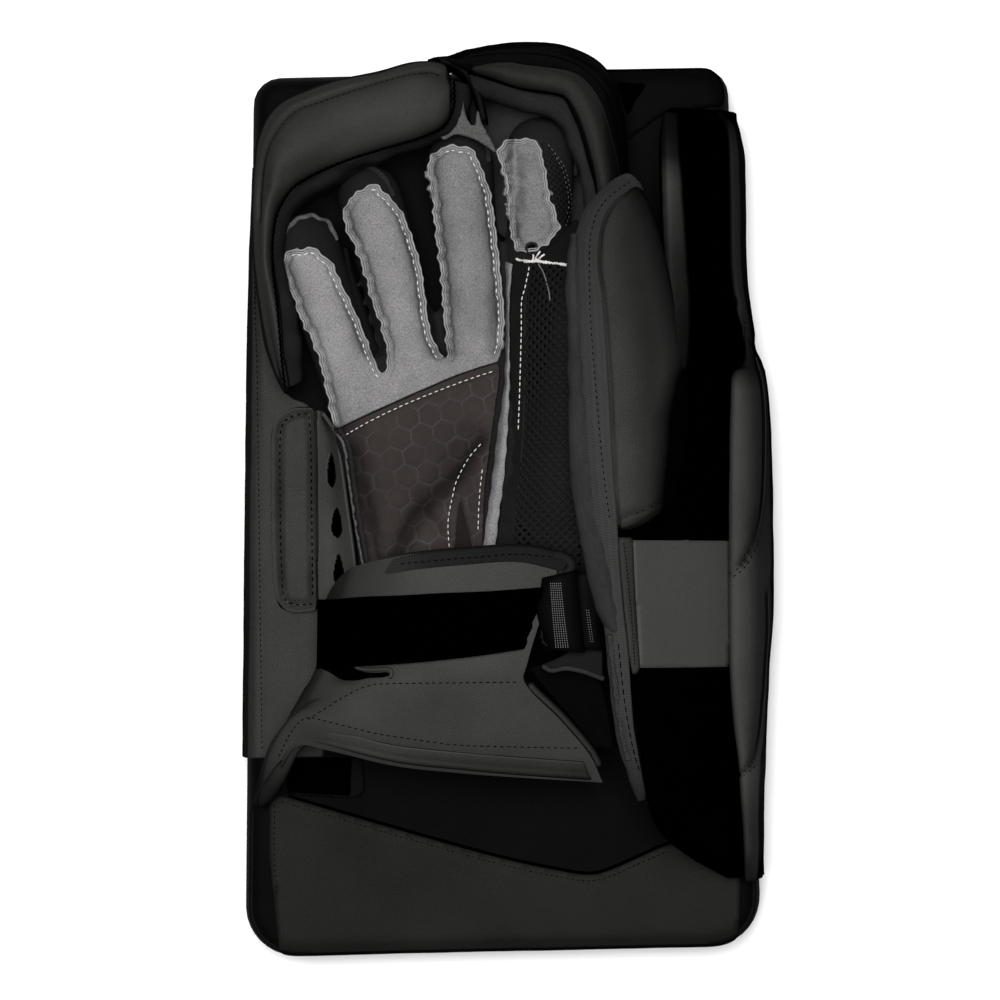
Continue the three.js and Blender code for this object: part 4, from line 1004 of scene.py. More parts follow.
# Cloth linings inside both guards, and the loose flap between them
liningRows = {"fingerLining": [[(-89.6, 49, 60), (-90.4, 60, 67), (-91.4, 80, 69), (-93, 101, 70), (-91.6, 118, 71), (-86, 130, 72),
    (-76, 137.4, 73), (-61, 143.6, 73), (-46, 148, 73), (-31, 152.2, 72), (-20, 157, 71), (-15.6, 166, 70), (-15.4, 177, 68)],
    [(-83.4, 52, 52), (-83, 62, 56), (-84.6, 80, 58), (-89, 101, 60), (-87.6, 118, 61), (-80.4, 128.6, 62), (-68.8, 134.8, 62),
    (-56, 141, 62), (-41, 146, 62), (-28, 150.6, 62), (-16.5, 155.6, 60), (-10.5, 163, 58), (-9, 176, 56)],
    [(-82.5, 54, 38), (-82.6, 62, 38), (-84.6, 80, 38), (-90, 100, 38), (-88, 116, 38), (-80.4, 127, 38), (-68.8, 134, 38),
    (-56, 141.4, 38), (-41, 147, 38), (-28, 153, 38), (-16.5, 157, 38), (-10.5, 163, 38), (-8.8, 175, 38)]],
    "indexLining": [[(-9.5, 179.6, 68), (0.6, 176.4, 71), (11.9, 172.6, 72), (22.7, 170.6, 72), (31.4, 168.4, 72), (35.1, 160.9, 72),
    (38.1, 152.9, 72), (39.9, 143.6, 72), (42.1, 135.6, 72), (43.8, 128, 71), (45, 114, 69)],
    [(-6, 171, 60), (3.9, 167.6, 65), (14, 164.4, 65.5), (22.4, 162.2, 65.5), (28.6, 157.2, 65.5), (32.4, 149.4, 65), (35.2, 140.8, 65),
    (37.2, 131, 64), (38.8, 123, 64), (40, 117, 61), (41, 110, 58)], [(-7.5, 174, 38), (3.9, 170, 38), (14, 166.5, 38), (23, 165, 38),
    (30.4, 159.6, 38), (35, 151.4, 38), (38, 142.8, 38), (39.6, 134, 38), (41, 126, 38), (41.8, 120, 38), (42, 112, 38)]]}
for name, curves in liningRows.items():
    spots = netOf(curves, 26, 150)
    piece = gridPiece(name, spots, lining, facing="up")
    crumple(piece, 1.3, 11, 3.0 if name == "indexLining" else 8.0, -1.0)
    clothWall(piece, 1.2, lengthOf(curves[0]))
    addPiece(piece, ())
    # the leather ends over the lining in a pinked edge
    trim = np.array([(x, y) for x, y, z in curves[0]])
    height = [z + 3.2 for x, y, z in curves[0]]
    trimRun = waver(evenly(trim, 0.5), 0.3, 2.4, 4.0)
    trimZ = np.interp(np.linspace(0, 1, len(trimRun)), np.linspace(0, 1, len(height)), height)
    addPiece(tubePiece(name + "Edge", np.column_stack([trimRun, trimZ]), 0.42, 0.8, blackLeather, 8), ())
guardFloor = cutSheet("guardFloor", evenly([(-9, 172), (4, 170), (14, 166.5), (24, 165), (31, 160), (36, 151), (38.6, 142), (40, 130),
    (40.5, 116), (30, 112), (5, 112), (-4, 130), (-7, 150)], 2.0, closed=True), 2.2, paleLining, boardTree, 2.0)
crumple(guardFloor, 0.8, 12, 2.0)
clothWall(guardFloor, 1.0, 60, 50)
addPiece(guardFloor, ())
flapOutline = [(-16.8, 160), (-14.6, 168), (-12.4, 171.4), (-11.2, 164), (-9.2, 159), (-7.0, 158.2), (-5.6, 164.5), (-4.0, 158.6),
    (-0.6, 152.4), (1.6, 146.6), (-2.5, 149.2), (-9.2, 153.0), (-15.6, 154.4), (-20, 152.5), (-22, 155)]
flapSpots = evenly(flapOutline, 1.0, closed=True)
looseFlap = cutSheet("looseFlap", flapSpots, 1.0, rawCloth, boardTree, 30.5)
crumple(looseFlap, 1.0, 5, 2.0)
clothWall(looseFlap, 0.9, 24, 15)
addPiece(looseFlap, ())
# the finger guard's outer strip runs on past its end and turns down inside the index guard
stripEnd = evenly([(-21, 186.0), (-14.4, 184.0), (-9.6, 179.6), (-6.2, 173.4), (-4.4, 167.0), (-3.2, 160.4)], 1.5)
stripSpots = np.array([[(x, y, z) for z in (38, 46, 54, 61, 64.6, 65.4, 64.6, 61, 54, 46, 38)] for x, y in stripEnd], float)
_, side, _ = frameAlong(np.column_stack([stripEnd, np.zeros(len(stripEnd))]))
stripSpots[:, :, :2] += side[:, None, :2] * np.array([-1.9, -1.9, -1.9, -1.8, -1.2, 0, 1.2, 1.8, 1.9, 1.9, 1.9])[None, :, None]
guardStrip = gridPiece("guardStrip", stripSpots, trimLeather, facing="up")
thicken(guardStrip, 0.8)
addPiece(guardStrip, ())
print("guards made")

# Glove: finger axes, half widths and heights; the hand body and the ball of the thumb

fingerShapes = {
    "little": {"axis": [(-60.5, 46), (-69.5, 76), (-77.4, 103), (-83, 124.5)], "half": 13.4, "tip": 13.8},
    "ring": {"axis": [(-34, 54), (-42.8, 92), (-49.6, 120), (-57, 143.5)], "half": 13.2, "tip": 14.2},
    "middle": {"axis": [(-9.5, 54), (-10.0, 92), (-12.8, 126), (-14.6, 158.6)], "half": 13.4, "tip": 14.8},
    "index": {"axis": [(16.5, 54), (18.6, 105), (20.4, 138), (20.8, 163)], "half": 13.6, "tip": 15.4},
}
stallHeight = {"floor": 34.4, "high": 26.4}


def fingerPiece(name, shape):
    axis = evenly(shape["axis"], 2.4)
    run = runOf(axis)
    left = run[-1] - run
    reach = 15.0
    dome = np.sqrt(np.clip(1 - (1 - np.clip(left / reach, 0, 1)) ** 2, 0, 1))
    ahead = unit(np.gradient(axis, axis=0))
    side = np.stack([ahead[:, 1], -ahead[:, 0]], axis=1)
    half = np.interp(run / run[-1], [0, 0.55, 1], [shape["half"] * 0.94, shape["half"], shape["tip"]]) * np.maximum(dome, 0.04)
    high = stallHeight["high"] / 2 * np.maximum(dome, 0.04) ** 0.8
    middle = stallHeight["floor"] + stallHeight["high"] / 2
    turn = np.linspace(0, 2 * math.pi, 37)
    spots = np.zeros((len(axis), 37, 3))
    spots[:, :, :2] = axis[:, None, :] + side[:, None, :] * (half[:, None] * np.cos(turn))[:, :, None]
    spots[:, :, 2] = middle + high[:, None] * np.sin(turn)
    return gridPiece(name, spots, knit, rolled=True, caps=True)


palmRows = [(-36, -61, 22, 50, 62), (-20, -61.5, 22, 51, 64), (5, -65, 22, 52, 66), (30, -70, 23, 52, 66.5), (48, -73.5, 25, 51, 64.5),
    (62, -73.5, 27, 49, 61)]
palmCurves = []
for share, low in ((0.03, 0), (0.5, 0), (0.97, 0)):
    palmCurves.append([(left + (right - left) * share, y, 34.4) for y, left, right, edge, crown in palmRows])
for share, edgePart, crownPart, drop in ((1.0, 1, 0, 8), (0.95, 0.3, 0.7, 0), (0.8, 0, 1, 0), (0.55, 0, 1, 0), (0.3, 0.08, 0.92, 0),
                                         (0.12, 0.34, 0.66, 0), (0.02, 0.9, 0.1, 0), (0.0, 1, 0, 10)):
    palmCurves.append([(left + (right - left) * share, y, edge * edgePart + crown * crownPart - drop) for y, left, right, edge,
        crown in palmRows])
palmBody = gridPiece("palmBody", netOf(palmCurves, 61, 50, closed=True), knit, rolled=True, caps=True)

thumbRows = [(-36, -9, 60, 30, 70), (-20, -8, 63, 31, 74), (0, -5, 65.5, 32, 81), (25, -1, 66.5, 33, 86), (60, 5, 64, 33, 88),
    (85, 9, 61, 35, 87), (101, 14, 58, 38, 80)]
thumbCurves = [[(seamX, y, 48) for y, seamX, seamZ, crestX, crestZ in thumbRows],
    [(crestX, y, 48) for y, seamX, seamZ, crestX, crestZ in thumbRows], [(45, y, 52) for y, *_ in thumbRows],
    [(46, y, crestZ - 14) for y, _, _, _, crestZ in thumbRows], [(43.5, y, crestZ - 3) for y, _, _, _, crestZ in thumbRows],
    [(crestX + 4, y, crestZ) for y, _, _, crestX, crestZ in thumbRows], [(crestX, y, crestZ) for y, _, _, crestX, crestZ in thumbRows],
    [(seamX + (crestX - seamX) * 0.68, y, seamZ + (crestZ - seamZ) * 0.72) for y, seamX, seamZ, crestX, crestZ in thumbRows],
    [(seamX + (crestX - seamX) * 0.36, y, seamZ + (crestZ - seamZ) * 0.34) for y, seamX, seamZ, crestX, crestZ in thumbRows],
    [(seamX, y, seamZ) for y, seamX, seamZ, crestX, crestZ in thumbRows]]
thumbBody = gridPiece("thumbBody", netOf(thumbCurves, 49, 60, closed=True), knit, rolled=True, caps=True)
handParts = [palmBody, thumbBody] + [fingerPiece(n + "Stall", s) for n, s in fingerShapes.items()]
bm = bmesh.new()
for part in handParts:
    bm.from_mesh(part.data)
    bpy.data.objects.remove(part)
gloveShell = finishMesh("gloveShell", bm, knit)
remesh = gloveShell.modifiers.new("one skin", "REMESH")
remesh.mode = "VOXEL"
remesh.voxel_size = 0.0021
bake(gloveShell)
bm = bmesh.new()
bm.from_mesh(gloveShell.data)
for _ in range(3):
    bmesh.ops.smooth_vert(bm, verts=bm.verts[:], factor=0.5, use_axis_x=True, use_axis_y=True, use_axis_z=True)
wristCut = Vector(metres([0, -33.6, 40]))
bmesh.ops.bisect_plane(bm, geom=bm.verts[:] + bm.edges[:] + bm.faces[:], plane_co=wristCut, plane_no=Vector((0, -1, 0)), clear_outer=True)
bm.to_mesh(gloveShell.data)
bm.free()
gloveShell.data.polygons.foreach_set("use_smooth", [True] * len(gloveShell.data.polygons))
crease = evenly([(-7.0, 26), (-19.0, 9.0), (-30.4, -0.8), (-38.6, -10.6), (-45.4, -24.9), (-47.6, -33)], 1.5)
sideFold = evenly([(-63, 20), (-60.5, 5), (-57.0, -10), (-51, -32)], 1.5)
lowFold = evenly([(-33, -4), (-24, -16), (-15, -32)], 1.5)
for line, width, depth in ((crease, 12.0, 4.2), (sideFold, 7.0, 2.2), (lowFold, 7.0, 1.6)):
    press(gloveShell, line, width, depth, 1.5)
shellTree = treeOf(gloveShell)
thicken(gloveShell, 1.8)
addPiece(gloveShell, ["palm_shell", "little_finger", "ring_finger", "middle_finger", "index_finger"])
gap = evenly([(-63.4, 108), (-62.0, 99), (-60.0, 91), (-58.0, 83), (-55.8, 74), (-52.6, 64)], 1.5)
addPiece(tubePiece("fingerGusset", np.column_stack([gap, np.linspace(42.0, 48.5, len(gap))]), np.linspace(1.6, 3.8, len(gap)), 6.0,
    darkLining, 14), ())
collars = {"littleCollar": [(-92.6, 107), (-90.4, 112.4), (-86.4, 117.6), (-83.1, 120.6), (-79, 121.8), (-74.2, 121.4), (-69.4, 117.6),
    (-67.2, 112)], "ringCollar": [(-66.4, 118), (-68.4, 126), (-66.6, 133.6), (-62.0, 139.6), (-56.0, 142.4), (-50.2, 141.0),
    (-45.4, 136.4), (-42.6, 130)], "middleCollar": [(-28.6, 143), (-27.2, 151), (-22.4, 157.2), (-15.0, 159.6), (-8.0, 157.4),
    (-3.2, 151.6), (-1.6, 144)], "indexCollar": [(5.4, 158), (10.4, 164.0), (17.4, 167.0), (25.4, 165.4), (31.6, 159.0), (34.6, 148),
    (35.0, 138)]}
for name, line in collars.items():
    ragged = name == "littleCollar"
    laid, _ = layOn(shellTree, waver(evenly(line, 0.7), 0.8 if ragged else 0.25, 6.3, 2.0), 0.3)
    laid = soften(laid, 5)
    laid[:, 2] += 0.6 * unevenness(len(laid), 0.09, 3.0, len(name))
    thick = 1.0 + 0.3 * unevenness(len(laid), 0.12, 8.0, 1.0)
    addPiece(tubePiece(name, laid, thick * (1.1 if ragged else 1.3), thick * 0.8, rawCloth if ragged else lining, 10), ())
print("glove shell made")

# Grey suede on the palm side
littleEdge = [(-70.0, 33.0), (-71.7, 43.7), (-72.9, 49.9), (-73.8, 55.5), (-76.3, 64.7), (-78.2, 69.8), (-81.2, 75.4), (-83.6, 81.1),
    (-86.0, 89.2), (-88.8, 95), (-90.1, 100.6), (-89.2, 105.0), (-86.8, 107.4), (-81.7, 108), (-76.6, 108.5), (-72.5, 105.4),
    (-68.1, 101.0), (-65.1, 93.2), (-60.4, 83.2), (-55.9, 71.8), (-51.4, 59.8), (-49.4, 55.6), (-48.4, 54.4)]
ringEdge = [(-47.4, 55.6), (-46.2, 61.2), (-47.4, 69.4), (-49.6, 77.7), (-52.3, 85.1), (-55.2, 97), (-59.2, 109), (-62.5, 115.6),
    (-63.6, 122.0), (-62.4, 126.6), (-59.0, 130.2), (-54.7, 133), (-51.6, 134.6), (-47.6, 133.8), (-45.4, 130.4), (-40.2, 125.2),
    (-36.4, 117.1), (-33.8, 109.0), (-31.2, 98.9), (-29.6, 85), (-28.2, 73.5), (-25.6, 65.9), (-22.6, 61.2)]
middleEdge = [(-21.2, 60.6), (-21.2, 66), (-22.2, 80.8), (-23.0, 97), (-24.7, 113.4), (-25.8, 127.4), (-27.7, 139.5), (-26.8, 144.6),
    (-23.8, 148), (-19.2, 150), (-12.7, 150.1), (-7.4, 147.4), (-4.6, 140), (-1.8, 133.0), (-0.2, 123.4), (1.3, 108.7), (2.6, 92.5),
    (3.6, 77.7), (2.8, 66.4), (0.8, 59.3)]
palmSeam = [(0.4, 58.6), (-15.7, 53.7), (-31.8, 47.3), (-50.1, 39.7), (-67.9, 32.0)]
edges = {}
for key, points, seed in (("little", littleEdge, 1.0), ("ring", ringEdge, 2.0), ("middle", middleEdge, 3.0)):
    edges[key] = waver(waver(evenly(points, 0.6), (0.5, 0.6, 0.55, 0.25, 0.3), 4.9, seed), (0.5, 0.6, 0.5, 0.3, 0.3), 9.7, seed + 5)
suedeOutline = np.vstack([edges["little"], edges["ring"], edges["middle"], evenly(palmSeam, 0.8)])
palmSuede = cutSheet("palmSuede", suedeOutline, 0.85, suede, shellTree, 1.9, 58)
indexEdge = [(8.4, 107.2), (6.3, 119.5), (5.5, 133.7), (2.2, 145), (3.0, 149.2), (6.3, 151.9), (12, 152.6), (18.5, 151.6), (20.6, 147.5),
    (22.4, 139.5), (24.2, 127.2), (27.0, 119.1), (27.5, 113.6), (22.5, 107.6), (17, 104.6), (11.2, 104.4)]
indexOutline = waver(waver(evenly(indexEdge, 0.6, closed=True), (0.5, 0.6, 0.3, 0.6, 0.5), 4.7, 4.0, closed=True),
    (0.5, 0.5, 0.3, 0.6, 0.5), 8.9, 7.0, closed=True)
indexSuede = cutSheet("indexSuede", indexOutline, 0.8, suede, shellTree, 1.9, 58)
for y, slant, size in ((144, 3.0, 0.7), (137, -1.5, 0.8), (130, 2.5, 0.9), (123, -2.0, 0.8), (116, 2.0, 0.7)):
    press(indexSuede, evenly([(2.5 + abs(slant), y - slant), (14, y + slant), (25, y - slant)], 1.0), 3.0, size, 1.6)
crumple(indexSuede, 0.5, 6, 3.0)
crumple(palmSuede, 0.45, 12, 5.0)
for line in edges.values():
    press(palmSuede, sideStep(line, 2.2), 1.3, 1.0)
press(indexSuede, sideStep(indexOutline, 2.1), 1.2, 0.9)
shadeBy(palmSuede, lambda s: np.interp(s[:, 1], [50, 72], [1.0, 0.0]) + np.interp(s[:, 1], [50, 72], [0.0, 1.0])
        * np.interp(s[:, 0] + (s[:, 1] - 70) * 0.16, [-66, -58, -32, -22], [1.13, 1.0, 0.98, 0.84]))
shadeBy(indexSuede, lambda s: np.full(len(s), 0.8))
thicken(palmSuede, 1.4)
thicken(indexSuede, 1.4)
addPiece(palmSuede, ["palm_suede"])
addPiece(indexSuede, ["index_suede"])
suedeTree = treeOf(palmSuede, indexSuede, gloveShell)

# The raw leather edges stand up beside the outseams, in uneven waves
for key, line in list(edges.items()) + [("index", np.vstack([indexOutline, indexOutline[:1]]))]:
    for k, (inset, size) in enumerate(((0.5, 0.5), (1.35, 0.32))):
        rim, _ = layOn(suedeTree, sideStep(line, inset), 0.3 - 0.1 * k)
        rim = soften(rim, 3)
        rim[:, 2] += 0.3 * unevenness(len(rim), 0.11, 7.0, 1.0)
        thin = size * (1 + 0.35 * unevenness(len(rim), 0.16, 2.0, len(key)))
        addPiece(tubePiece(key + ("Outseam", "InnerEdge")[k], rim, thin, thin * 0.8, suedeEdge, 8), ())
threads = []
for key, part in (("little", 0.5), ("ring", 0.5), ("middle", 0.47)):
    line = sideStep(edges[key], 2.35)
    half = int(len(line) * part)
    threads.append((line[half:], 3.1, 2.0, 0.62))
    threads.append((line[:half], 3.1, 1.3, 0.42))
threads.append((sideStep(indexOutline, 2.2), 3.0, 1.4, 0.45))
for k, (line, pitch, length, thick) in enumerate(threads):
    addPiece(stitchOn("suedeStitches%d" % (k + 1), suedeTree, [line], paleThread if thick > 0.5 else suedeEdge, pitch, length, thick, 0.2),
        ())
print("suede made")

# The lower palm cloth, embossed with hexagons
patchTop = [(-67.9, 31.4), (-50.1, 39.0), (-31.8, 46.6), (-15.7, 53.0), (0.2, 57.9)]
patchOutline = np.vstack([evenly(patchTop, 1.0), evenly([(0.9, 56), (0.6, 50.4), (-1.5, 37.9), (-3.4, 25.3), (-5.4, 12.7), (-6.8, 0.2),
    (-8.0, -20.8), (-8.4, -32.4)], 1.0), evenly([(-56.6, -32.4), (-58.2, -27.0), (-61.3, -8.7), (-63.7, 11.2), (-65.1, 23.4),
    (-69.0, 30.2)], 1.0)])
palmPatch = cutSheet("palmPatch", patchOutline, 0.62, patchCloth, shellTree, 2.0, 60)
hexSize = {"across": 9.3, "turn": 8.0, "line": 0.42, "rise": 0.4}


def hexEdge(x, y):
    # distance to the nearest line of a honeycomb, whose cells stand on two shifted grids
    a = math.radians(hexSize["turn"])
    px, py = x * math.cos(a) + y * math.sin(a), -x * math.sin(a) + y * math.cos(a)
    w = hexSize["across"]
    h = w * math.sqrt(3)
    best = None
    for ox, oy in ((0, 0), (w / 2, h / 2)):
        cx = round((px - ox) / w) * w + ox
        cy = round((py - oy) / h) * h + oy
        d = (px - cx) ** 2 + (py - cy) ** 2
        if best is None or d < best[0]:
            best = (d, px - cx, py - cy)
    _, dx, dy = best
    dx, dy = abs(dx), abs(dy)
    return w / 2 - max(dx, dx * 0.5 + dy * math.sqrt(3) / 2)


crumple(palmPatch, 0.7, 13, 3.0)
dart = np.array([(-17.2, 3.0), (-19.6, -21), (-20.0, -33), (-9.6, -33), (-11.2, -20.4), (-17.2, 3.0)])
shade = palmPatch.data.attributes.new("emboss", "FLOAT", "POINT")
spots = placesOf(palmPatch)
fromCrease, foot = distanceTo(crease, spots)
below = spots[:, 0] - foot[:, 0] > 0
values = []
fromTop = distanceTo(evenly(patchTop, 1.0), spots)[0]
inDart = insideOf(dart, spots)
for v, s, gap, low in zip(palmPatch.data.vertices, spots, fromTop, inDart):
    edge = hexEdge(s[0], s[1])
    line = max(0.0, 1 - edge / hexSize["line"]) ** 0.7
    fade = min(1.0, max(0.0, (gap - 4.2) / 1.5)) * (0.55 + 0.8 * noise.noise(Vector((s[0] / 14, s[1] / 14, 2.0))))
    fade = max(0.0, min(1.0, fade)) * (0.0 if low else 1.0)
    values.append(line * fade)
    v.co.z -= (hexSize["rise"] * max(0.0, 1 - edge / 1.1) * fade + (0.8 if low else 0.0)) * place["unit"]
shade.data.foreach_set("value", values)
# painted shade in the crease and a broad darker patch beside it, and a painted highlight on the fold on its lower side;
# the cloth is also darker towards its left rim
deep = np.interp(spots[:, 1], [-32, 0, 24], [3.9, 3.6, 2.6])
dark = 0.62 * np.exp(-(fromCrease / deep) ** 2) + 0.22 * np.exp(-(np.hypot(spots[:, 0] + 17, spots[:, 1] - 19) / 11) ** 2)
light = 0.16 * np.exp(-((fromCrease - 7) / 2.6) ** 2) * below
rimDark = 0.4 * np.exp(-np.maximum(spots[:, 0] - np.interp(spots[:, 1], [-32, 11, 30], [-55, -62, -66]), 0) / 3.0)
shadeBy(palmPatch, lambda s: np.clip(1 - dark + light - rimDark, 0.15, 1.3))
palmPatch.data.update()
patchSeam = [(-66.6, 28.0), (-50.5, 36.2), (-33.2, 43.5), (-16.5, 49.6), (-0.4, 54.8)]
press(palmPatch, evenly(patchSeam, 1.0), 1.2, 0.6)
patchLines = [patchSeam, [(-7.2, 24.2), (-12.2, 18.8), (-15.5, 13.6), (-18.5, 7.6), (-20.2, 1.2), (-21.7, -5.8), (-22.2, -11.3),
    (-21.8, -21.2), (-21.8, -31)], [(-7.0, 13.5), (-8.0, 7.2), (-8.9, -1.9), (-9.5, -12)]]
for line in patchLines[1:]:
    press(palmPatch, evenly(line, 1.0), 1.1, 0.5)
clothWall(palmPatch, 1.2, 92, 70)
addPiece(palmPatch, ["palm_patch"])
patchTree = treeOf(palmPatch, gloveShell)
dartFold = cutSheet("dartFold", [(-17.0, 1.0), (-18.6, -10), (-19.6, -22), (-20.0, -32.4), (-10.2, -32.4), (-11.8, -21), (-14.6, -9)], 0.8,
                    napFinish("dart cloth", (0.0085, 0.0068, 0.0065), 0.5, 0.2), patchTree, 0.25, 60)
thicken(dartFold, 0.5)
addPiece(dartFold, ())
patchStitches = stitchOn("patchStitches", patchTree, patchLines, paleThread, 2.7, 1.8, 0.5, 0.1)
addPiece(patchStitches, ())
patchSide = waver(evenly([(-69.0, 30.6), (-65.4, 24.2), (-63.9, 11.2), (-61.5, -8.7), (-58.3, -27.7), (-57, -32)], 0.8), 0.3, 6.0, 9.0)
for name, shift, size, finish in (("patchWelt", -0.2, 0.7, rawCloth), ("patchRim", -2.3, 1.0, lining)):
    cordOn(name, patchTree, sideStep(patchSide, shift), 0.3, 4, size, size * 0.9, finish, 8)
print("palm cloth made")

# The grey welt along the palm's thumb side
weltLeft = [(4.6, 101.0), (4.4, 84.0), (3.0, 50.4), (-0.3, 29.5), (-3.2, 8.5), (-5.6, -6.2), (-7.7, -20.4), (-8.8, -32)]
weltRight = [(7.6, 99.5), (5.9, 83.6), (5.2, 50.4), (3.8, 29.4), (1.7, 8.4), (-0.6, -6.3), (-2.4, -20.6), (-3.2, -32)]
weltSpots = np.zeros((120, 9, 3))
left = waver(readLine(weltLeft, np.linspace(0, 1, 120)), 0.25, 11.0, 5.0)
right = waver(readLine(weltRight, np.linspace(0, 1, 120)), 0.25, 9.0, 6.0)
for i in range(120):
    for k in range(9):
        t = k / 8
        x, y = left[i] * (1 - t) + right[i] * t
        weltSpots[i, k] = (x, y, heightAt(shellTree, x, y, 60) + 2.4 + 1.0 * math.sin(math.pi * t))
for k in range(9):
    weltSpots[:, k, 2] = rolling(weltSpots[:, k, 2], 4)
palmWelt = shadeBy(gridPiece("palmWelt", weltSpots, suede, facing="up"), lambda s: np.ones(len(s)))
thicken(palmWelt, 2.2)
softEdge(palmWelt, 0.4)
addPiece(palmWelt, ["palm_welt"])

# The perforated thumb gusset: a plain strip beside the welt, a stitch line, then open mesh
def webCurve(share):
    # one long line of the gusset, between the palm's seam and the thumb's crest
    out = []
    seam = sorted((y, x) for x, y in weltRight)
    rowY, rowZ, crests, tops = [[r[k] for r in thumbRows] for k in (0, 2, 3, 4)]
    for y in np.linspace(100.5, -33, 14):
        seamX = np.interp(y, *zip(*seam))
        crestX = np.interp(y, rowY, crests) + 2.5
        seamZ = np.interp(y, rowY, rowZ) + 1.2
        crestZ = np.interp(y, rowY, tops)
        x = seamX + (crestX - seamX) * share
        rise = share + 0.05 * math.sin(math.pi * share)
        out.append((x, y, seamZ + (crestZ - seamZ) * rise + 1.9))
    return out


plainStrip = gridPiece("webStrip", netOf([webCurve(s) for s in (0.0, 0.08, 0.16, 0.22)], 8, 110), meshCloth, facing="up")
crumple(plainStrip, 0.4, 8, 2.0, -1.0)
clothWall(plainStrip, 1.4, 134)
addPiece(plainStrip, ())
spotsWeb = netOf([webCurve(s) for s in (0.2, 0.4, 0.6, 0.8, 1.0)], 33, 161)


def perforated(name, spots, pitch, hole, material):
    # open mesh: square cells stood on their corners, each with a round hole, over a net of places
    height, width = spots.shape[0] - 1, spots.shape[1] - 1
    wide, tall = spanOf(spots)
    count = int(wide / pitch[0] + tall / pitch[1]) + 4
    bm = bmesh.new()
    uv = bm.loops.layers.uv.new("weave")
    bmesh.ops.create_grid(bm, x_segments=count, y_segments=count, size=count / 2)
    cells = bm.faces[:]
    bmesh.ops.inset_individual(bm, faces=cells, thickness=(1 - hole) / 2, use_even_offset=True)
    bmesh.ops.delete(bm, geom=cells, context="FACES_ONLY")
    inner = [e for e in bm.edges if e.is_boundary and max(abs(c) for v in e.verts for c in v.co[:2]) < count / 2 - 0.02]
    bmesh.ops.subdivide_edges(bm, edges=inner, cuts=1)
    half = count / 2
    for v in bm.verts:
        cx, cy = math.floor(v.co.x + half) + 0.5 - half, math.floor(v.co.y + half) + 0.5 - half
        dx, dy = v.co.x - cx, v.co.y - cy
        size = math.hypot(dx, dy)
        if v.is_boundary and 1e-6 < size < 0.49:
            v.co.x, v.co.y = cx + dx / size * hole * 0.5, cy + dy / size * hole * 0.5
    for v in bm.verts:
        a, b = v.co.x, v.co.y
        v.co.x, v.co.y = (a + b) / 2 * pitch[0], (a - b) / 2 * pitch[1]
    for direction, reach in (((1, 0, 0), wide / 2), ((-1, 0, 0), wide / 2), ((0, 1, 0), tall / 2), ((0, -1, 0), tall / 2)):
        bmesh.ops.bisect_plane(bm, geom=bm.verts[:] + bm.edges[:] + bm.faces[:], plane_co=Vector(direction) * reach,
            plane_no=Vector(direction), clear_outer=True)
    for face in bm.faces:
        for corner in face.loops:
            corner[uv].uv = (corner.vert.co.x, corner.vert.co.y)
    where = metres(spots)
    for v in bm.verts:
        u = min(max(v.co.x / wide + 0.5, 0), 1) * width
        w = min(max(v.co.y / tall + 0.5, 0), 1) * height
        i, j = min(int(w), height - 1), min(int(u), width - 1)
        a, b = w - i, u - j
        v.co = Vector((where[i, j] * (1 - a) * (1 - b) + where[i + 1, j] * a * (1 - b) + where[i, j + 1] * (1 - a) * b
                       + where[i + 1, j + 1] * a * b))
    return finishMesh(name, bm, material, facing="up")


panelCurves = [[(21.0, 150.6), (23, 138.3), (24.6, 128.6), (26.8, 119.6), (27.4, 115.6)],
    [(22.8, 150.2), (29.4, 141.1), (31.8, 132.6), (32.7, 124.1), (29.8, 115.4)]]
panelNet = netOf(panelCurves, 8, 40, reach=2)
panelSpots = np.array([[(x, y, heightAt(shellTree, x, y, 50) + 1.4) for x, y in row] for row in panelNet])
indexPanel = perforated("indexPanel", panelSpots, (2.6, 2.6), 0.5, meshCloth)
thicken(indexPanel, 0.8)
addPiece(indexPanel, ())
panelTrim = evenly([(x + 0.6, y) for x, y in panelCurves[1]], 0.8)
addPiece(stitchOn("indexPanelStitches", treeOf(gloveShell, indexPanel), [panelTrim, [(x - 1.2, y) for x, y in panelTrim[4:-4]]], greyThread,
    2.2, 1.1, 0.4, 0.1), ())
webMesh = perforated("thumbWeb", spotsWeb, (4.1, 3.8), 0.52, meshCloth)
thicken(webMesh, 1.0)
addPiece(webMesh, ["thumb_web"])
underWeb = gridPiece("webLining", netOf([[(x, y, z - 1.6) for x, y, z in webCurve(s)] for s in (0.05, 0.35, 0.65, 1.0)], 12, 60),
                     deepCloth, facing="up")
clothWall(underWeb, 0.5, 134)
addPiece(underWeb, ())
webTree = treeOf(plainStrip, webMesh, underWeb)
webStitchLine = [(14.7, 98.3), (12.4, 88.3), (11.0, 83.7), (10.6, 71.1), (9.9, 56.9), (9.1, 41.8), (8.3, 28.6)]
webStitches = stitchOn("webStitches", webTree, [webStitchLine], paleThread, 2.6, 1.9, 0.55, 0.2)
addPiece(webStitches, ())
print("thumb gusset made")

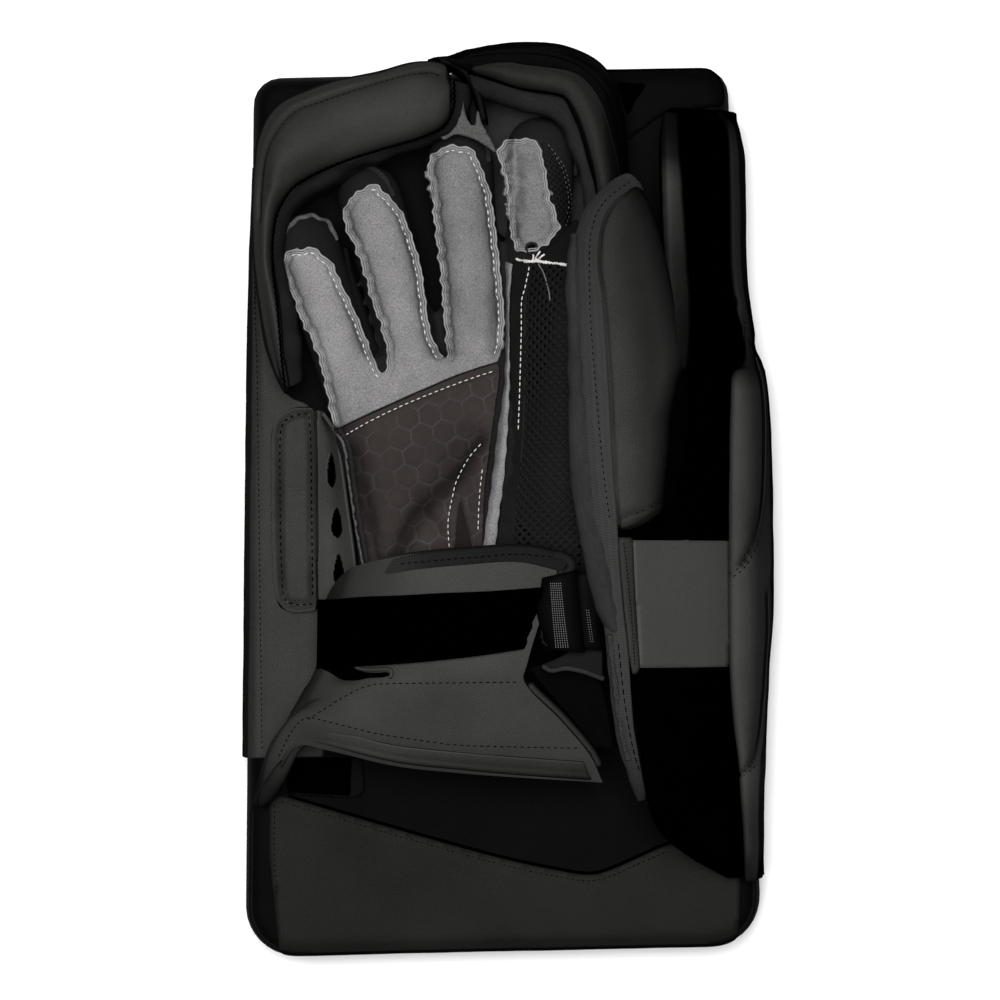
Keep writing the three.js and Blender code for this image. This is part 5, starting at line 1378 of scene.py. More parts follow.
# Cloth flap, thread bar and eyelet at the head of the gusset
handTree = treeOf(gloveShell, palmSuede, indexSuede, webMesh, plainStrip)
flap = cutSheet("thumbFlap", evenly([(18.0, 101.5), (24, 107.5), (30, 113.5), (35.4, 117.6), (36.5, 108), (36, 99.5), (28, 99)], 1.0,
    closed=True), 1.2, meshCloth, handTree, 2.2, 66)
crumple(flap, 0.5, 7, 3.0)
thicken(flap, 1.0)
addPiece(flap, ())
flapTree = treeOf(gloveShell, palmSuede, indexSuede, webMesh, plainStrip, flap)
barLine = [(9.8, 101.8), (12.6, 100.3), (16.1, 99.7), (19.4, 100.2), (23.2, 99.1), (27.2, 98.2), (32.2, 97.2)]
laid, _ = layOn(flapTree, evenly(barLine, 0.8), 0.9)
laid = soften(laid, 6)
run = runOf(laid)
for k, phase in enumerate((0.0, math.pi)):
    twist = laid.copy()
    twist[:, 1] += 0.42 * np.sin(run * 2.1 + phase)
    twist[:, 2] += 0.42 * np.cos(run * 2.1 + phase)
    addPiece(tubePiece("barThread" + "AB"[k], twist, 0.46, 0.46, paleThread, 7), ())
knotEnds = [[(17.4, 100.2), (18.4, 101.8), (19.6, 103.2)], [(18.2, 100.4), (19.4, 100.8), (21.4, 101.8)],
    [(16.6, 100.6), (17.0, 102.2), (16.4, 103.4)]]
for k, line in enumerate(knotEnds):
    cordOn("knotEnd%d" % (k + 1), flapTree, evenly(line, 0.5), 1.2, 3, 0.42, 0.42, paleThread, 7)
cordOn("looseThread", flapTree, evenly([(18.6, 98.7), (20.6, 94.6), (22.0, 90.0), (22.7, 86.2), (22.9, 83.0)], 0.8), 0.4, 4, 0.28, 0.28,
    greyThread, 6)
eyelet, _ = layOn(flapTree, [(15.9 + 2.4 * math.cos(a), 106.0 + 2.2 * math.sin(a)) for a in np.linspace(0, 2 * math.pi, 25)], 0.3)
eyelet[:, 2] = eyelet[:, 2].mean() + 0.2
addPiece(tubePiece("eyelet", eyelet, 0.6, 0.7, lining, 8), ())
well = cutSheet("eyeletWell", [(15.9 + 2.3 * math.cos(a), 106.0 + 2.1 * math.sin(a)) for a in np.linspace(0, 2 * math.pi, 25)[:-1]], 0.7,
                deepCloth, flapTree, 0.35, 62)
thicken(well, 0.4)
addPiece(well, ())

# Cuff over the wrist: rows from the finger side to the mouth
cuffRows = [[(-71, -44, 38), (-68.5, -38, 50), (-62.5, -31, 66), (-54.5, -26, 78), (-38, -22.6, 86), (-12, -20.6, 89), (10, -20.2, 89),
    (29, -25, 86)], [(-71.5, -50, 38), (-69.5, -45, 51), (-64, -39, 67), (-55, -34.5, 79), (-38, -32, 87), (-13, -30.5, 90), (8, -29.5, 90),
    (24, -31, 88)], [(-73, -60, 38), (-71.5, -57, 52), (-66, -53, 69), (-56, -51, 80), (-38, -50, 87), (-13, -49, 90), (4, -48, 90),
    (16, -48, 89)], [(-76.5, -74, 38), (-74.5, -71, 54), (-70, -69.5, 70), (-57, -70, 80), (-38, -69.4, 87), (-13, -68.6, 89.5),
    (0, -68, 89.5), (9.5, -67.5, 89)], [(-83.5, -85, 38), (-80, -82, 55), (-75, -83, 70), (-62, -79.5, 80), (-45, -77, 85.5),
    (-20, -77, 88), (-4, -77.2, 88), (9, -76, 88)], [(-94, -103, 38), (-88.5, -95, 55), (-80, -88, 70), (-66, -88, 79), (-45, -89, 83),
    (-18, -91, 85), (5, -92, 85), (23, -91, 84)], [(-100.5, -116, 38), (-95.5, -104, 54), (-85, -92, 69), (-71, -93.5, 76),
    (-50, -98.5, 79.5), (-20, -103, 81.5), (6, -104.4, 81), (35, -106, 78)], [(-105, -129, 38), (-98, -117, 52), (-87, -100, 64),
    (-72, -101, 71), (-45, -107.5, 74.5), (-18, -111, 76.5), (8, -114, 76), (40, -117, 72)], ]
cuffColumns = [[row[k] for row in cuffRows] for k in range(8)]
cuffNet = netOf(cuffColumns, 100, 96)
wristCuff = gridPiece("wristCuff", cuffNet, cuffCover, facing="up")
bm = bmesh.new()
bm.from_mesh(wristCuff.data)
bmesh.ops.solidify(bm, geom=bm.faces[:], thickness=-5 * place["unit"])
bm.to_mesh(wristCuff.data)
bm.free()
upperSeam = [(-83, -92), (-74.4, -86.6), (-66.3, -81.9), (-59.2, -78.5), (-51.3, -76.9), (-30.9, -76.9), (-10, -77.1), (8.6, -77.3)]
bindSeam = [(-96, -108), (-90, -97), (-83.5, -90.8), (-74.5, -92.2), (-62, -95.4), (-52.0, -97.9), (-31.6, -101.3), (-18.2, -103.1),
    (6.0, -104.4), (26.9, -105.4), (35.6, -105.6)]
press(wristCuff, evenly(upperSeam, 1.5), 2.2, 1.4)
press(wristCuff, evenly(bindSeam, 1.5), 2.0, 1.3)
cuffFolds = [([(-68, -71.4), (-63.5, -73.2), (-56, -73.8), (-48.4, -71.6)], 2.2, 2.6),
    ([(-78, -76), (-72, -74.6), (-66, -76.6), (-60, -77.4)], 2.6, 1.4), ([(-84, -80), (-78, -79), (-71, -81.2)], 2.6, 1.1),
    ([(-6, -70), (2, -73.4), (8, -74.4)], 3.0, 1.2)]
for line, width, depth in cuffFolds:
    press(wristCuff, evenly(line, 1.0), width, depth, 1.4)
crumple(wristCuff, 0.5, 15, 2.0)
# painted shade: darker down the left leg where the cuff turns down to the board, and a painted shadow beside the slit
shadeBy(wristCuff, lambda s: np.where(s[:, 0] < -80, np.interp(s[:, 1], [-128, -118, -104], [0.2, 0.5, 1.0]), 1.0)
        * (1 - 0.5 * np.exp(-(np.hypot((s[:, 0] + 67) / 5, (s[:, 1] + 73.4) / 2.2)) ** 2)))
softEdge(wristCuff, 1.2, 3, 50)
addPiece(wristCuff, ["wrist_cuff"])
print("cuff made")

# Bindings on both of the cuff's long edges: leather at the mouth, woven at the top
def overEdge(name, edge, inwardRow, reach, lift, material):
    # a strip folded over a free edge of the cuff
    edge = np.array(edge, float)
    inner = np.array(inwardRow, float)
    step = unit(inner - edge)
    step *= np.interp(np.arange(len(edge)), [0, 5], [0.08, 1.0])[:, None]  # the strip starts in a point
    tree = treeOf(wristCuff)

    def topAt(spot):
        found, _ = under(tree, spot[0], spot[1])
        return spot[2] + 5 if found is None or abs(found[2] - spot[2]) > 9 else found[2]

    rims = np.array([topAt(p + s * 1.6) for p, s in zip(edge, step)])
    rims = rolling(rims, 2)
    curves = []
    for along in (reach, reach * 0.75, reach * 0.5, reach * 0.25):
        tops = rolling(np.array([topAt(p + s * along) for p, s in zip(edge, step)]), 2)
        curves.append([(p[0] + s[0] * along, p[1] + s[1] * along, z + lift) for p, s, z in zip(edge, step, tops)])
    for along, rise in ((-0.6, lift - 0.2), (-1.7, -1.2), (-1.9, -3.2), (-1.2, -5.4), (0.8, -6.8), (3.6, -7.0)):
        curves.append([(p[0] + s[0] * along, p[1] + s[1] * along, z + rise) for p, s, z in zip(edge, step, rims)])
    piece = gridPiece(name, netOf(curves, 30, 130), material, facing="up")
    return thicken(piece, 1.0)


mouthEdge = cuffNet[-1, 16:]
mouthInner = cuffNet[-10, 16:]
mouthBinding = overEdge("mouthBinding", mouthEdge[::5], mouthInner[::5], 7.6, 1.3, cuffCover)
rimGap = distanceTo(mouthEdge, placesOf(mouthBinding))[0]
# painted shade: darker at the rolled edge itself and down the left leg
shadeBy(mouthBinding, lambda s: np.interp(rimGap, [0, 2.5, 6, 8], [0.8, 1.08, 1.15, 1.1]) * np.interp(s[:, 1], [-128, -116, -104],
    [0.15, 0.4, 1.0]))
addPiece(mouthBinding, ())
legLine = cuffNet[-1, 1:47:3] + [0.2, 1.2, 0.8]
legRoll = tubePiece("mouthEnd", legLine, np.interp(np.linspace(0, 1, len(legLine)), [0, 0.08, 0.5, 0.8, 1], [2.6, 4.0, 3.8, 2.6, 1.2]), 2.8,
    cuffCover, 16)
# painted shade down the left leg
shadeBy(crumple(legRoll, 0.3, 7, 2.0, -1.0), lambda s: np.interp(s[:, 1], [-130, -118, -104, -98], [0.22, 0.45, 0.8, 1.0]))
addPiece(legRoll, ())
topEdge = cuffNet[0, 15:]
topInner = cuffNet[9, 15:]
topBinding = overEdge("topBinding", topEdge[::6], topInner[::6], 6.6, 1.1, cuffBand)
shadeBy(topBinding, lambda s: np.interp(s[:, 0], [-60, -44, -30, -8], [1.7, 1.45, 0.82, 0.62]))
addPiece(topBinding, ())
bandEnd = cordOn("bandEnd", treeOf(wristCuff), evenly([(22, -23.6), (26.0, -24.6), (28.6, -26.4), (29.2, -28.6), (27.6, -30.4),
    (24, -30.8)], 1.0), 0.6, 4, 2.0, 1.6, cuffBand, 12, 88)
shadeBy(bandEnd, lambda s: np.full(len(s), 0.8))
diagonal = np.array(cuffNet[50:-6, -1])
addPiece(tubePiece("cuffPiping", soften(diagonal + [0.6, 0, -1.0], 3), 2.0, 2.6, leather, 12), ())
cuffTree = treeOf(wristCuff, mouthBinding, topBinding)
# a black sheet stands in for the shade inside the slit
cuffSlitShadow = cutSheet("cuffSlitShadow", evenly([(-77, -68.8), (-72.6, -70.8), (-68, -73.4), (-62, -73.8), (-56, -72.8), (-50.6, -72.6),
    (-47.8, -71.6), (-48.6, -70.4), (-53, -70.6), (-58.6, -70.2), (-62.6, -68.4), (-66, -66.8), (-72, -66.8), (-76.6, -67)], 0.6,
    closed=True), 0.6, blackLeather, cuffTree, 0.5, 80)
thicken(cuffSlitShadow, 0.4)
addPiece(cuffSlitShadow, ())
cordOn("cuffFold", cuffTree, evenly([(-61.4, -68.4), (-58.4, -69.3), (-53, -69.4), (-47.9, -69.2), (-46.2, -70.5), (-47.3, -72.7)], 0.8),
    0.2, 3, 0.9, 0.8, cuffLeather, 10)

# The black strap over the cuff
strapTop = [(-78.4, -40.4), (-70, -40.0), (-59.0, -39.0), (-42, -38.6), (-25.8, -38.0), (-5, -37.6), (19.4, -36.4)]
strapLow = [(-79.2, -69.4), (-71, -68.8), (-65.9, -68.2), (-46, -67.2), (-26.4, -65.8), (-6, -63.8), (18.8, -60.4)]
strapSpots = np.zeros((90, 13, 3))
top = readLine(strapTop, np.linspace(0, 1, 90))
low = readLine(strapLow, np.linspace(0, 1, 90))
for i in range(90):
    for k in range(13):
        x, y = top[i] * (1 - k / 12) + low[i] * k / 12
        strapSpots[i, k] = (x, y, heightAt(cuffTree, x, y, 40) + 2.4)
for k in range(13):
    strapSpots[:, k, 2] = rolling(strapSpots[:, k, 2], 3)
strapSpots[:, :, 2] = strapSpots[:, :, 2] * 0.4 + strapSpots[:, :, 2].max(axis=1, keepdims=True) * 0.6
wristStrap = gridPiece("wristStrap", strapSpots, strapWeb, facing="up")
clothWall(wristStrap, 2.0, lengthOf(strapTop))
addPiece(wristStrap, ["wrist_strap"])

# The webbing loops over a slide: plastic round its edge, ribs down its middle
buckleSize = {"x": 25.4, "y": -47.6, "z": 92.2, "wide": 8.6, "long": 13.8, "corner": 3.4, "turn": -4.0}
ringPath = []
for cx, cy, start in ((1, 1, 0), (-1, 1, 90), (-1, -1, 180), (1, -1, 270)):
    for k in range(10):
        a = math.radians(start + 10 * k)
        ringPath.append((cx * (buckleSize["wide"] - buckleSize["corner"]) + buckleSize["corner"] * math.cos(a),
                         cy * (buckleSize["long"] - buckleSize["corner"]) + buckleSize["corner"] * math.sin(a)))
turned = math.radians(buckleSize["turn"])
ringPath = evenly([(buckleSize["x"] + x * math.cos(turned) - y * math.sin(turned),
    buckleSize["y"] + x * math.sin(turned) + y * math.cos(turned), buckleSize["z"]) for x, y in ringPath], 1.0, closed=True)
addPiece(ringPiece("strapBuckle", ringPath, 1.2, 1.2, plastic, 12), ["strap_buckle"])


def loopStrip(name, upper, lower, section, material):
    # webbing wrapped over two bars; each part of the section has a side shift, a height and a bulge
    a, b = np.array(upper, float), np.array(lower, float)
    along = (b - a) / np.linalg.norm(b - a)
    curves = []
    for x, z, bulge in section:
        top, end, middle = a + [x, 0.2 * x, z], b + [x, -0.1 * x, z], (a + b) / 2 + [x + bulge, 0, z + 0.4]
        curves.append([tuple(p) for p in (top - [0, 0, 4.6], top - along * 1.1 - [0, 0, 2.0], top + along * 1.4, middle, end - along * 1.4,
            end + along * 1.1 - [0, 0, 2.0], end - [0, 0, 4.6])])
    piece = gridPiece(name, netOf(curves, 34, 60), material, facing="up")
    return thicken(piece, 1.2)


mainLoop = loopStrip("buckleWebbing", (23.2, -32.4, 95.2), (25.4, -62.2, 95.0),
    [(-6.4, -5.5, -2.4), (-7.2, -2.2, -3.0), (-6.6, 0.2, -2.8), (-4.4, 1.8, -1.6), (-1.0, 2.6, -0.4), (3.0, 2.4, 0), (6.4, 1.4, 0),
    (8.2, -0.6, 0)], loopWeb)
addPiece(mainLoop, ["buckle_webbing"])
backLoop = loopStrip("anchorWebbing", (34.4, -31.4, 94.4), (36.4, -62.0, 93.6),
    [(-4.6, -1.4, 0), (-3.4, 0.5, 0), (-1, 1.2, 0), (1.2, 1.0, 0), (3.4, 0.2, 0), (5.0, -2.4, 0)], loopWeb)
addPiece(backLoop, ())
loopTree = treeOf(mainLoop, backLoop)
ribLines = [[(22.2 + x * 0.9, -34.6), (23.1 + x, -48), (24.3 + x * 1.1, -61.6)] for x in (-2.3, -1.4, -0.5, 0.4, 1.3, 2.2)]
addPiece(stitchOn("buckleRibs", loopTree, ribLines, greyThread, 0.95, 0.6, 0.5, 0.1), ())
ribLines = [[(34.7 + x, -46.0), (35.5 + x, -53), (36.4 + x, -60.2)] for x in (0.0, 0.9)]
addPiece(stitchOn("anchorRibs", loopTree, ribLines, greyThread, 1.0, 0.6, 0.4, 0.05), ())
print("buckle made")

# Cloth between the cuff's slanted end and the lining
tongueCurves = [[(16.2, -68.8, 86), (20.4, -67.2, 87), (24.9, -65.2, 88), (31.1, -61.8, 88.5), (41.2, -60.8, 87.5)],
    [(16.4, -69.6, 86.6), (20.2, -69.4, 87.8), (25.5, -68.4, 88.4), (32, -67.6, 88.4), (41, -68.6, 87)],
    [(17.0, -70.4, 86), (20.2, -72.0, 86.8), (25.5, -71.2, 87.4), (32.4, -72.6, 87), (40.9, -75.8, 85.6)]]
tongue = gridPiece("clothTongue", netOf(tongueCurves, 14, 40), tongueCloth, facing="up")
clothWall(tongue, 1.2, 26)
addPiece(tongue, ())
hem = evenly([(16.5, -69.8, 86.8), (20.2, -71.4, 87.6), (25.5, -70.6, 88.4), (32.2, -71.8, 88), (36.3, -73.4, 87.2), (41, -75.2, 86.2)],
    0.8, reach=3)
addPiece(crumple(tubePiece("tongueHem", hem, 1.1, 0.8, tongueHem, 10), 0.3, 4, 2.0, -1.0), ())
gussetCurves = [[(10.5, -70.5, 84), (20, -82, 80), (30, -94, 76), (38.4, -105, 72)],
    [(18, -69, 83), (28, -80, 77), (36, -92, 73), (41, -105, 70)], [(34, -68.6, 83), (40, -78, 79), (43, -90, 75), (45, -106, 71)]]
gusset = gridPiece("cuffGusset", netOf(gussetCurves, 18, 36), deepCloth, facing="up")
crumple(gusset, 0.8, 9, 1.0, -1.0)
clothWall(gusset, 1.2, 45)
addPiece(gusset, ())
print("strap and buckle made")

# Side board: rows (y, inner x, inner z, outer x)
sideRows = [(163.5, 76, 68, 104.4), (159, 73, 74, 106.2), (148, 71, 78, 108.0), (120, 70.5, 80, 108.4), (92, 70.5, 81, 108.6),
    (65, 67, 83, 111.2), (46, 61, 87, 115.4), (10, 52, 92, 117.0), (-18, 48.6, 94, 117.2), (-45, 49.4, 94, 116.4), (-72, 52.6, 92.5, 114.4),
    (-98, 56, 89, 112.8), (-124, 59, 82, 111.2), (-140, 64, 73, 110.2), (-152, 76, 60, 109.8), (-160, 88, 48, 109.4),
    (-163.5, 94, 44, 109.0)]


def sideSection(y, innerX, innerZ, outerX):
    edge = boardSide(y)[1] + 0.4
    outer = max(outerX, edge + float(np.interp(y, [-135, -118], [1.1, 2.0])))
    kneeX = max(innerX + 6, outer - 18)
    kneeZ = min(innerZ - 1, 59)
    thick = min(10.5, (innerZ - 37) * 0.75)
    return [(innerX + 2.5, innerZ - thick), (innerX, innerZ - thick * 0.7), (innerX - 0.8, innerZ - thick * 0.3), (innerX + 2.2, innerZ),
        ((innerX + kneeX) / 2 + 1, innerZ + (kneeZ - innerZ) * 0.42), (kneeX, kneeZ), ((kneeX + outer) / 2, min(51, kneeZ - 2)),
        (outer - 2.4, min(41.5, kneeZ - 6)), (outer - 0.1, 30), (outer - 0.3, 16), (max(outer - 2.4, edge + 1), 7.4), (edge + 0.1, 8.4),
        (edge, 20), (edge - 0.4, 28), (edge - 3, 35.2), (kneeX + (outer - kneeX) * 0.26, min(43, kneeZ - 9)),
        (kneeX - 3, kneeZ - 12 * thick / 11)]


sideBoard = slicedPiece("sideBoard", sideRows, sideSection, 118, 65, blackLeather)
softEdge(sideBoard, 1.5, 2, 55)
addPiece(sideBoard, ["side_board"])
sideTree = treeOf(sideBoard)

# Padded leather along its outer edge: a short cushion by the fingers and a long one below the fold
outerPads = {"upperPad": {"inner": [(95.0, 161.6), (98.6, 158), (99.8, 152.0), (100.0, 124.4), (99.8, 99.1), (101.1, 85), (102.4, 77.5),
    (103.8, 72.5), (105.8, 68.4), (108.2, 64.4)], "outerAt": [(161.6, 100), (160, 104.6), (157, 106.6), (152, 108.0), (145, 108.9),
    (120, 108.9), (101, 108.4), (86, 109.4), (72, 111.2), (66, 111.6), (64, 110.6)]},
    "lowerPad": {"inner": [(105.2, 73.0), (105.4, 69.4), (105.5, 65), (105.5, 60.5), (105.1, 56.2), (103.6, 54.0), (100.4, 53.0),
    (98.9, 51.0), (98.7, 47), (98.2, 35), (97.3, 18.9), (96.0, -19.1), (95.4, -45), (95.3, -74.1), (96.5, -95.3), (98.4, -114.4),
    (99.1, -129.2), (99.9, -150.4), (100.4, -161.5), (100.6, -164.8)], "outerAt": [(73.4, 106.4), (70.5, 107.0), (67.5, 108.0),
    (64.5, 109.8), (61.6, 112.2), (55, 115.0), (44.7, 116.6), (28.3, 117.4), (0.8, 117.7), (-26.7, 117.5), (-54.3, 116.5), (-73.1, 114.4),
    (-99.8, 112.8), (-117.4, 111.9), (-125, 111.2), (-139.7, 110.6), (-150, 110.3), (-158, 110.2), (-162.5, 110.0), (-164.8, 109.2)]}, }
for name, pad in outerPads.items():
    outerLine = sorted(pad["outerAt"])
    inner = readLine(pad["inner"], np.linspace(0, 1, int(lengthOf(pad["inner"]) / 1.7)))
    spots = []
    for x, y in inner:
        outer = np.interp(y, [p[0] for p in outerLine], [p[1] for p in outerLine])
        spot, _ = under(sideTree, min(x, outer - 3), y)
        z = spot[2] + 0.4 if spot is not None else spots[-1][0, 2] + 0.4 if spots else 50
        wide = max(outer - x, 1.5)
        section = readLine([(x, z - 0.4), (x + 0.3, z + 1.6), (x + wide * 0.16, z + 2.6), (x + wide * 0.42, z + 1.2),
            (x + wide * 0.62, z - 2.2), (x + wide * 0.78, max(z - 8.6, 36)), (outer - wide * 0.08, max(z - 17, 32)), (outer, 27),
            (outer, 18), (outer - 0.8, 10), (outer - 2.2, 6.4)], np.linspace(0, 1, 40))
        spots.append(np.column_stack([section[:, 0], np.full(40, y), section[:, 1]]))
    spots = np.array(spots)
    for k in range(40):
        for axis in (0, 2):
            spots[:, k, axis] = rolling(spots[:, k, axis], 2)
    piece = gridPiece(name, spots, upperCover if name == "upperPad" else padCover, facing="up")
    crumple(piece, 0.3, 20, 5.0, -1.0)
    outerPads[name]["piece"] = piece
padSeams = [([(96.1, -33.5), (101.7, -29.4), (107.4, -19.8), (111.5, -3.8), (113.3, 19.0), (113.5, 43.9), (110.4, 58.0)], 2.0, 1.5),
            ([(99.1, -118.4), (104.7, -113.9), (108.3, -102.5), (110.9, -85.2), (113.0, -59.0), (113.2, -42)], 1.9, 1.2),
            ([(97.5, -160), (97.2, -150)], 1.5, 0.1)]
for line, width, depth in padSeams:
    press(outerPads["lowerPad"]["piece"], evenly(line, 1.2), width, depth)
press(outerPads["upperPad"]["piece"], evenly([(101.0, 83), (104.4, 78), (107.4, 70)], 1.2), 2.6, 1.2)


def padShade(s):
    # lit along the inner side, dark towards each seam and beyond it
    x, y = s[:, 0], s[:, 1]
    one, two = [np.interp(y, *zip(*sorted((b, a) for a, b in seam[0]))) for seam in padSeams[:2]]
    first = np.interp((x - 96) / np.maximum(one - 96, 1), [0, 0.45, 0.8, 1.0], [1.0, 0.92, 0.4, 0.16]) * np.interp(y, [44, 53], [1.0, 0.35])
    second = np.interp((x - 96) / np.maximum(two - 96, 1), [0, 0.45, 0.75, 0.95], [1.12, 1.05, 0.45, 0.42])
    third = np.interp(y, [-163, -152, -135, -119], [0.3, 0.5, 0.62, 1.0]) * np.interp(x, [105, 110], [1.0, 0.8])
    beyondOne = 0.22 + (second - 0.22) * np.interp(y, [-33.5, 6], [1.0, 0.0])
    beyondTwo = 0.25 + (third - 0.25) * np.interp(y, [-118.4, -88], [1.0, 0.0])
    return np.where(y > -33.5, np.where(x < one, first, beyondOne * np.interp(y, [0, 30], [1.0, 0.6])),
        np.where(y > -118.4, np.where(x < two, second, beyondTwo), third))


shadeBy(outerPads["lowerPad"]["piece"], padShade)
# painted shade: darker towards both sides and both ends of the upper cushion
shadeBy(outerPads["upperPad"]["piece"], lambda s: np.interp(s[:, 0], [99.9, 101.2, 103, 107.6, 109.2],
    [0.2, 0.6, 1.0, 0.9, 0.4]) * np.interp(s[:, 1], [62, 84, 145, 160], [0.7, 1.0, 1.0, 0.5]))
# the piping uses the lit crest leather: a painted highlight along the pad seams
for k in range(2):
    cordOn("padPiping%d" % (k + 1), treeOf(outerPads["lowerPad"]["piece"]), evenly(padSeams[k][0], 1.2), 0.1, 3, 0.32, 0.32, litCrestLeather,
        8)
for name, pad in outerPads.items():
    thicken(pad["piece"], 1.8)
    addPiece(pad["piece"], ())
padTree = treeOf(*[pad["piece"] for pad in outerPads.values()])

# Plain patch across the side board, and the lit strip on its upper rim
patchShape = [(54.6, -17.9), (96.3, -19.4), (95.3, -72.6), (56.2, -70.9)]
patchCorners = [evenly([patchShape[0], patchShape[1]], 2.0), evenly([patchShape[1], patchShape[2]], 2.0),
    evenly([patchShape[2], patchShape[3]], 2.0), evenly([patchShape[3], (55.8, -55), (55.2, -38), patchShape[0]], 2.0)]
sidePatch = cutSheet("sidePatch", np.vstack([c[:-1] for c in patchCorners]), 1.8, patchLeather, sideTree, 1.5, 70)
thicken(sidePatch, 1.2)
edgeStrip = cutSheet("patchEdgeStrip", np.vstack([evenly([(47.6, -16.5), (54.6, -16.8)], 1.0),
    evenly([(54.8, -18), (55.0, -32), (55.6, -50), (56.6, -71)], 1.5), evenly([(55.0, -73.5), (53.4, -73.5)], 1.0),
    evenly([(52.2, -68), (50.4, -48), (48.8, -28), (47.8, -18)], 1.5)]), 1.4, leather, sideTree, 1.1, 90)
thicken(edgeStrip, 1.0)
addPiece(edgeStrip, ())
addPiece(sidePatch, ["side_patch"])
crestCurves = [[(71.4, 160.5, 73.5), (70.6, 148.5, 79.0), (70.4, 123.5, 81.2), (70.8, 90, 82.4), (71.0, 66, 85), (74.0, 50, 84)],
    [(73.6, 161, 75.5), (73.2, 148.5, 81.2), (73.2, 123.5, 83.4), (73.8, 90, 84.4), (74.6, 66, 87), (75.4, 50, 85.2)],
    [(77, 160.8, 73.6), (77.2, 148.5, 79.6), (77.8, 123.5, 81.6), (79.2, 90, 82), (79.6, 66, 84.5), (77.4, 50, 84.6)],
    [(78.7, 160.4, 71), (78.6, 148.3, 76.4), (79.6, 123.3, 78), (81.3, 90, 78), (81.4, 66, 80), (78.4, 50, 83)]]
crestStrip = gridPiece("crestStrip", netOf(crestCurves, 16, 120), stripCover, facing="up")
crumple(crestStrip, 0.3, 10, 7.0, -1.0)
# painted shade along the strip: darkest at both ends, lightest towards y 130
shadeBy(crestStrip, lambda s: np.interp(s[:, 1], [50, 58, 69, 100, 118, 130, 137, 142, 150, 162],
    [0.12, 0.16, 0.2, 0.36, 0.65, 0.85, 0.55, 0.2, 0.12, 0.1]))
thicken(crestStrip, 1.6)
addPiece(crestStrip, ())
print("side board made")

# Thumb guard: leaf-shaped pad, rows (y, left, right, crown)
leafRows = [(131.0, 54.5, 57.5, 97), (127.5, 48.5, 61, 100.5), (122, 43.0, 64.2, 102.6), (114, 38.4, 67.2, 103.8), (104, 35.4, 69.8, 104.3),
    (90, 34.4, 72.8, 104.6), (70, 34.4, 76.8, 104.8), (50, 34.6, 79.6, 105), (35, 35.0, 80.2, 105), (18, 35.6, 78.4, 105),
    (4, 36.8, 75.0, 104.6), (-5, 40.5, 71.0, 104.0), (-10, 44.0, 62.0, 102.6), (-14.5, 47.2, 52.0, 100.4)]


def leafSection(_, left, right, crown):
    wide = right - left
    fall = wide * 0.34
    return [(left + wide * 0.5, crown - 13 - fall * 0.45), (left + 3, crown - 12), (left + 0.3, crown - 9), (left, crown - 5.4),
        (left + wide * 0.07, crown - 3.0), (left + wide * 0.15, crown - 1.4), (left + wide * 0.26, crown + 0.4),
        (left + wide * 0.42, crown + 0.2), (left + wide * 0.58, crown - fall * 0.12), (left + wide * 0.72, crown - fall * 0.42),
        (left + wide * 0.85, crown - fall * 0.85 - 1), (left + wide * 0.95, crown - fall * 1.15 - 2), (right, crown - fall * 1.25 - 5),
        (right - wide * 0.1, crown - fall * 1.25 - 8)]


thumbGuard = slicedPiece("thumbGuard", leafRows, leafSection, 56, 49, leafLeather)
puff(thumbGuard, 3.0, 1.4)
refine(thumbGuard)
leafSeam = [(57.5, 128.5), (55.1, 125.7), (49.3, 121.3), (44.9, 113.6), (43.0, 104.1), (42.5, 93.8), (44.1, 81.4), (45.7, 50.6),
    (46.9, 11.1), (47.9, -6.4), (48.6, -13.5)]
leafHem = [(48.7, -9.5), (57.6, -6.2), (68.4, -1.8)]
press(thumbGuard, evenly(leafSeam, 1.2), 1.7, 1.6)
press(thumbGuard, evenly(leafHem, 1.2), 1.5, 0.9)
crumple(thumbGuard, 0.35, 18, 9.0)


def leafShade(s):
    # lit towards the palm, lost in shade where it turns down over the side board
    x, y = s[:, 0], s[:, 1]
    edge = np.interp(y, [-14, -5.7, 23, 32, 50, 58, 63, 70, 90, 104, 114, 122, 131],
        [66.5, 67.4, 70.8, 71.2, 75.4, 80, 82, 81, 77, 74, 71.4, 68.4, 62])
    soft = np.interp(y, [-14, 32, 50, 63, 131], [7, 8.5, 7, 14, 14])
    return np.interp((edge - x) / soft, [0, 0.5, 1], [0.02, 0.45, 1.0]) * np.interp(y, [20, 60, 110, 131], [1.0, 0.88, 0.62, 0.48])


shadeBy(thumbGuard, leafShade)
addPiece(thumbGuard, ["thumb_guard"])

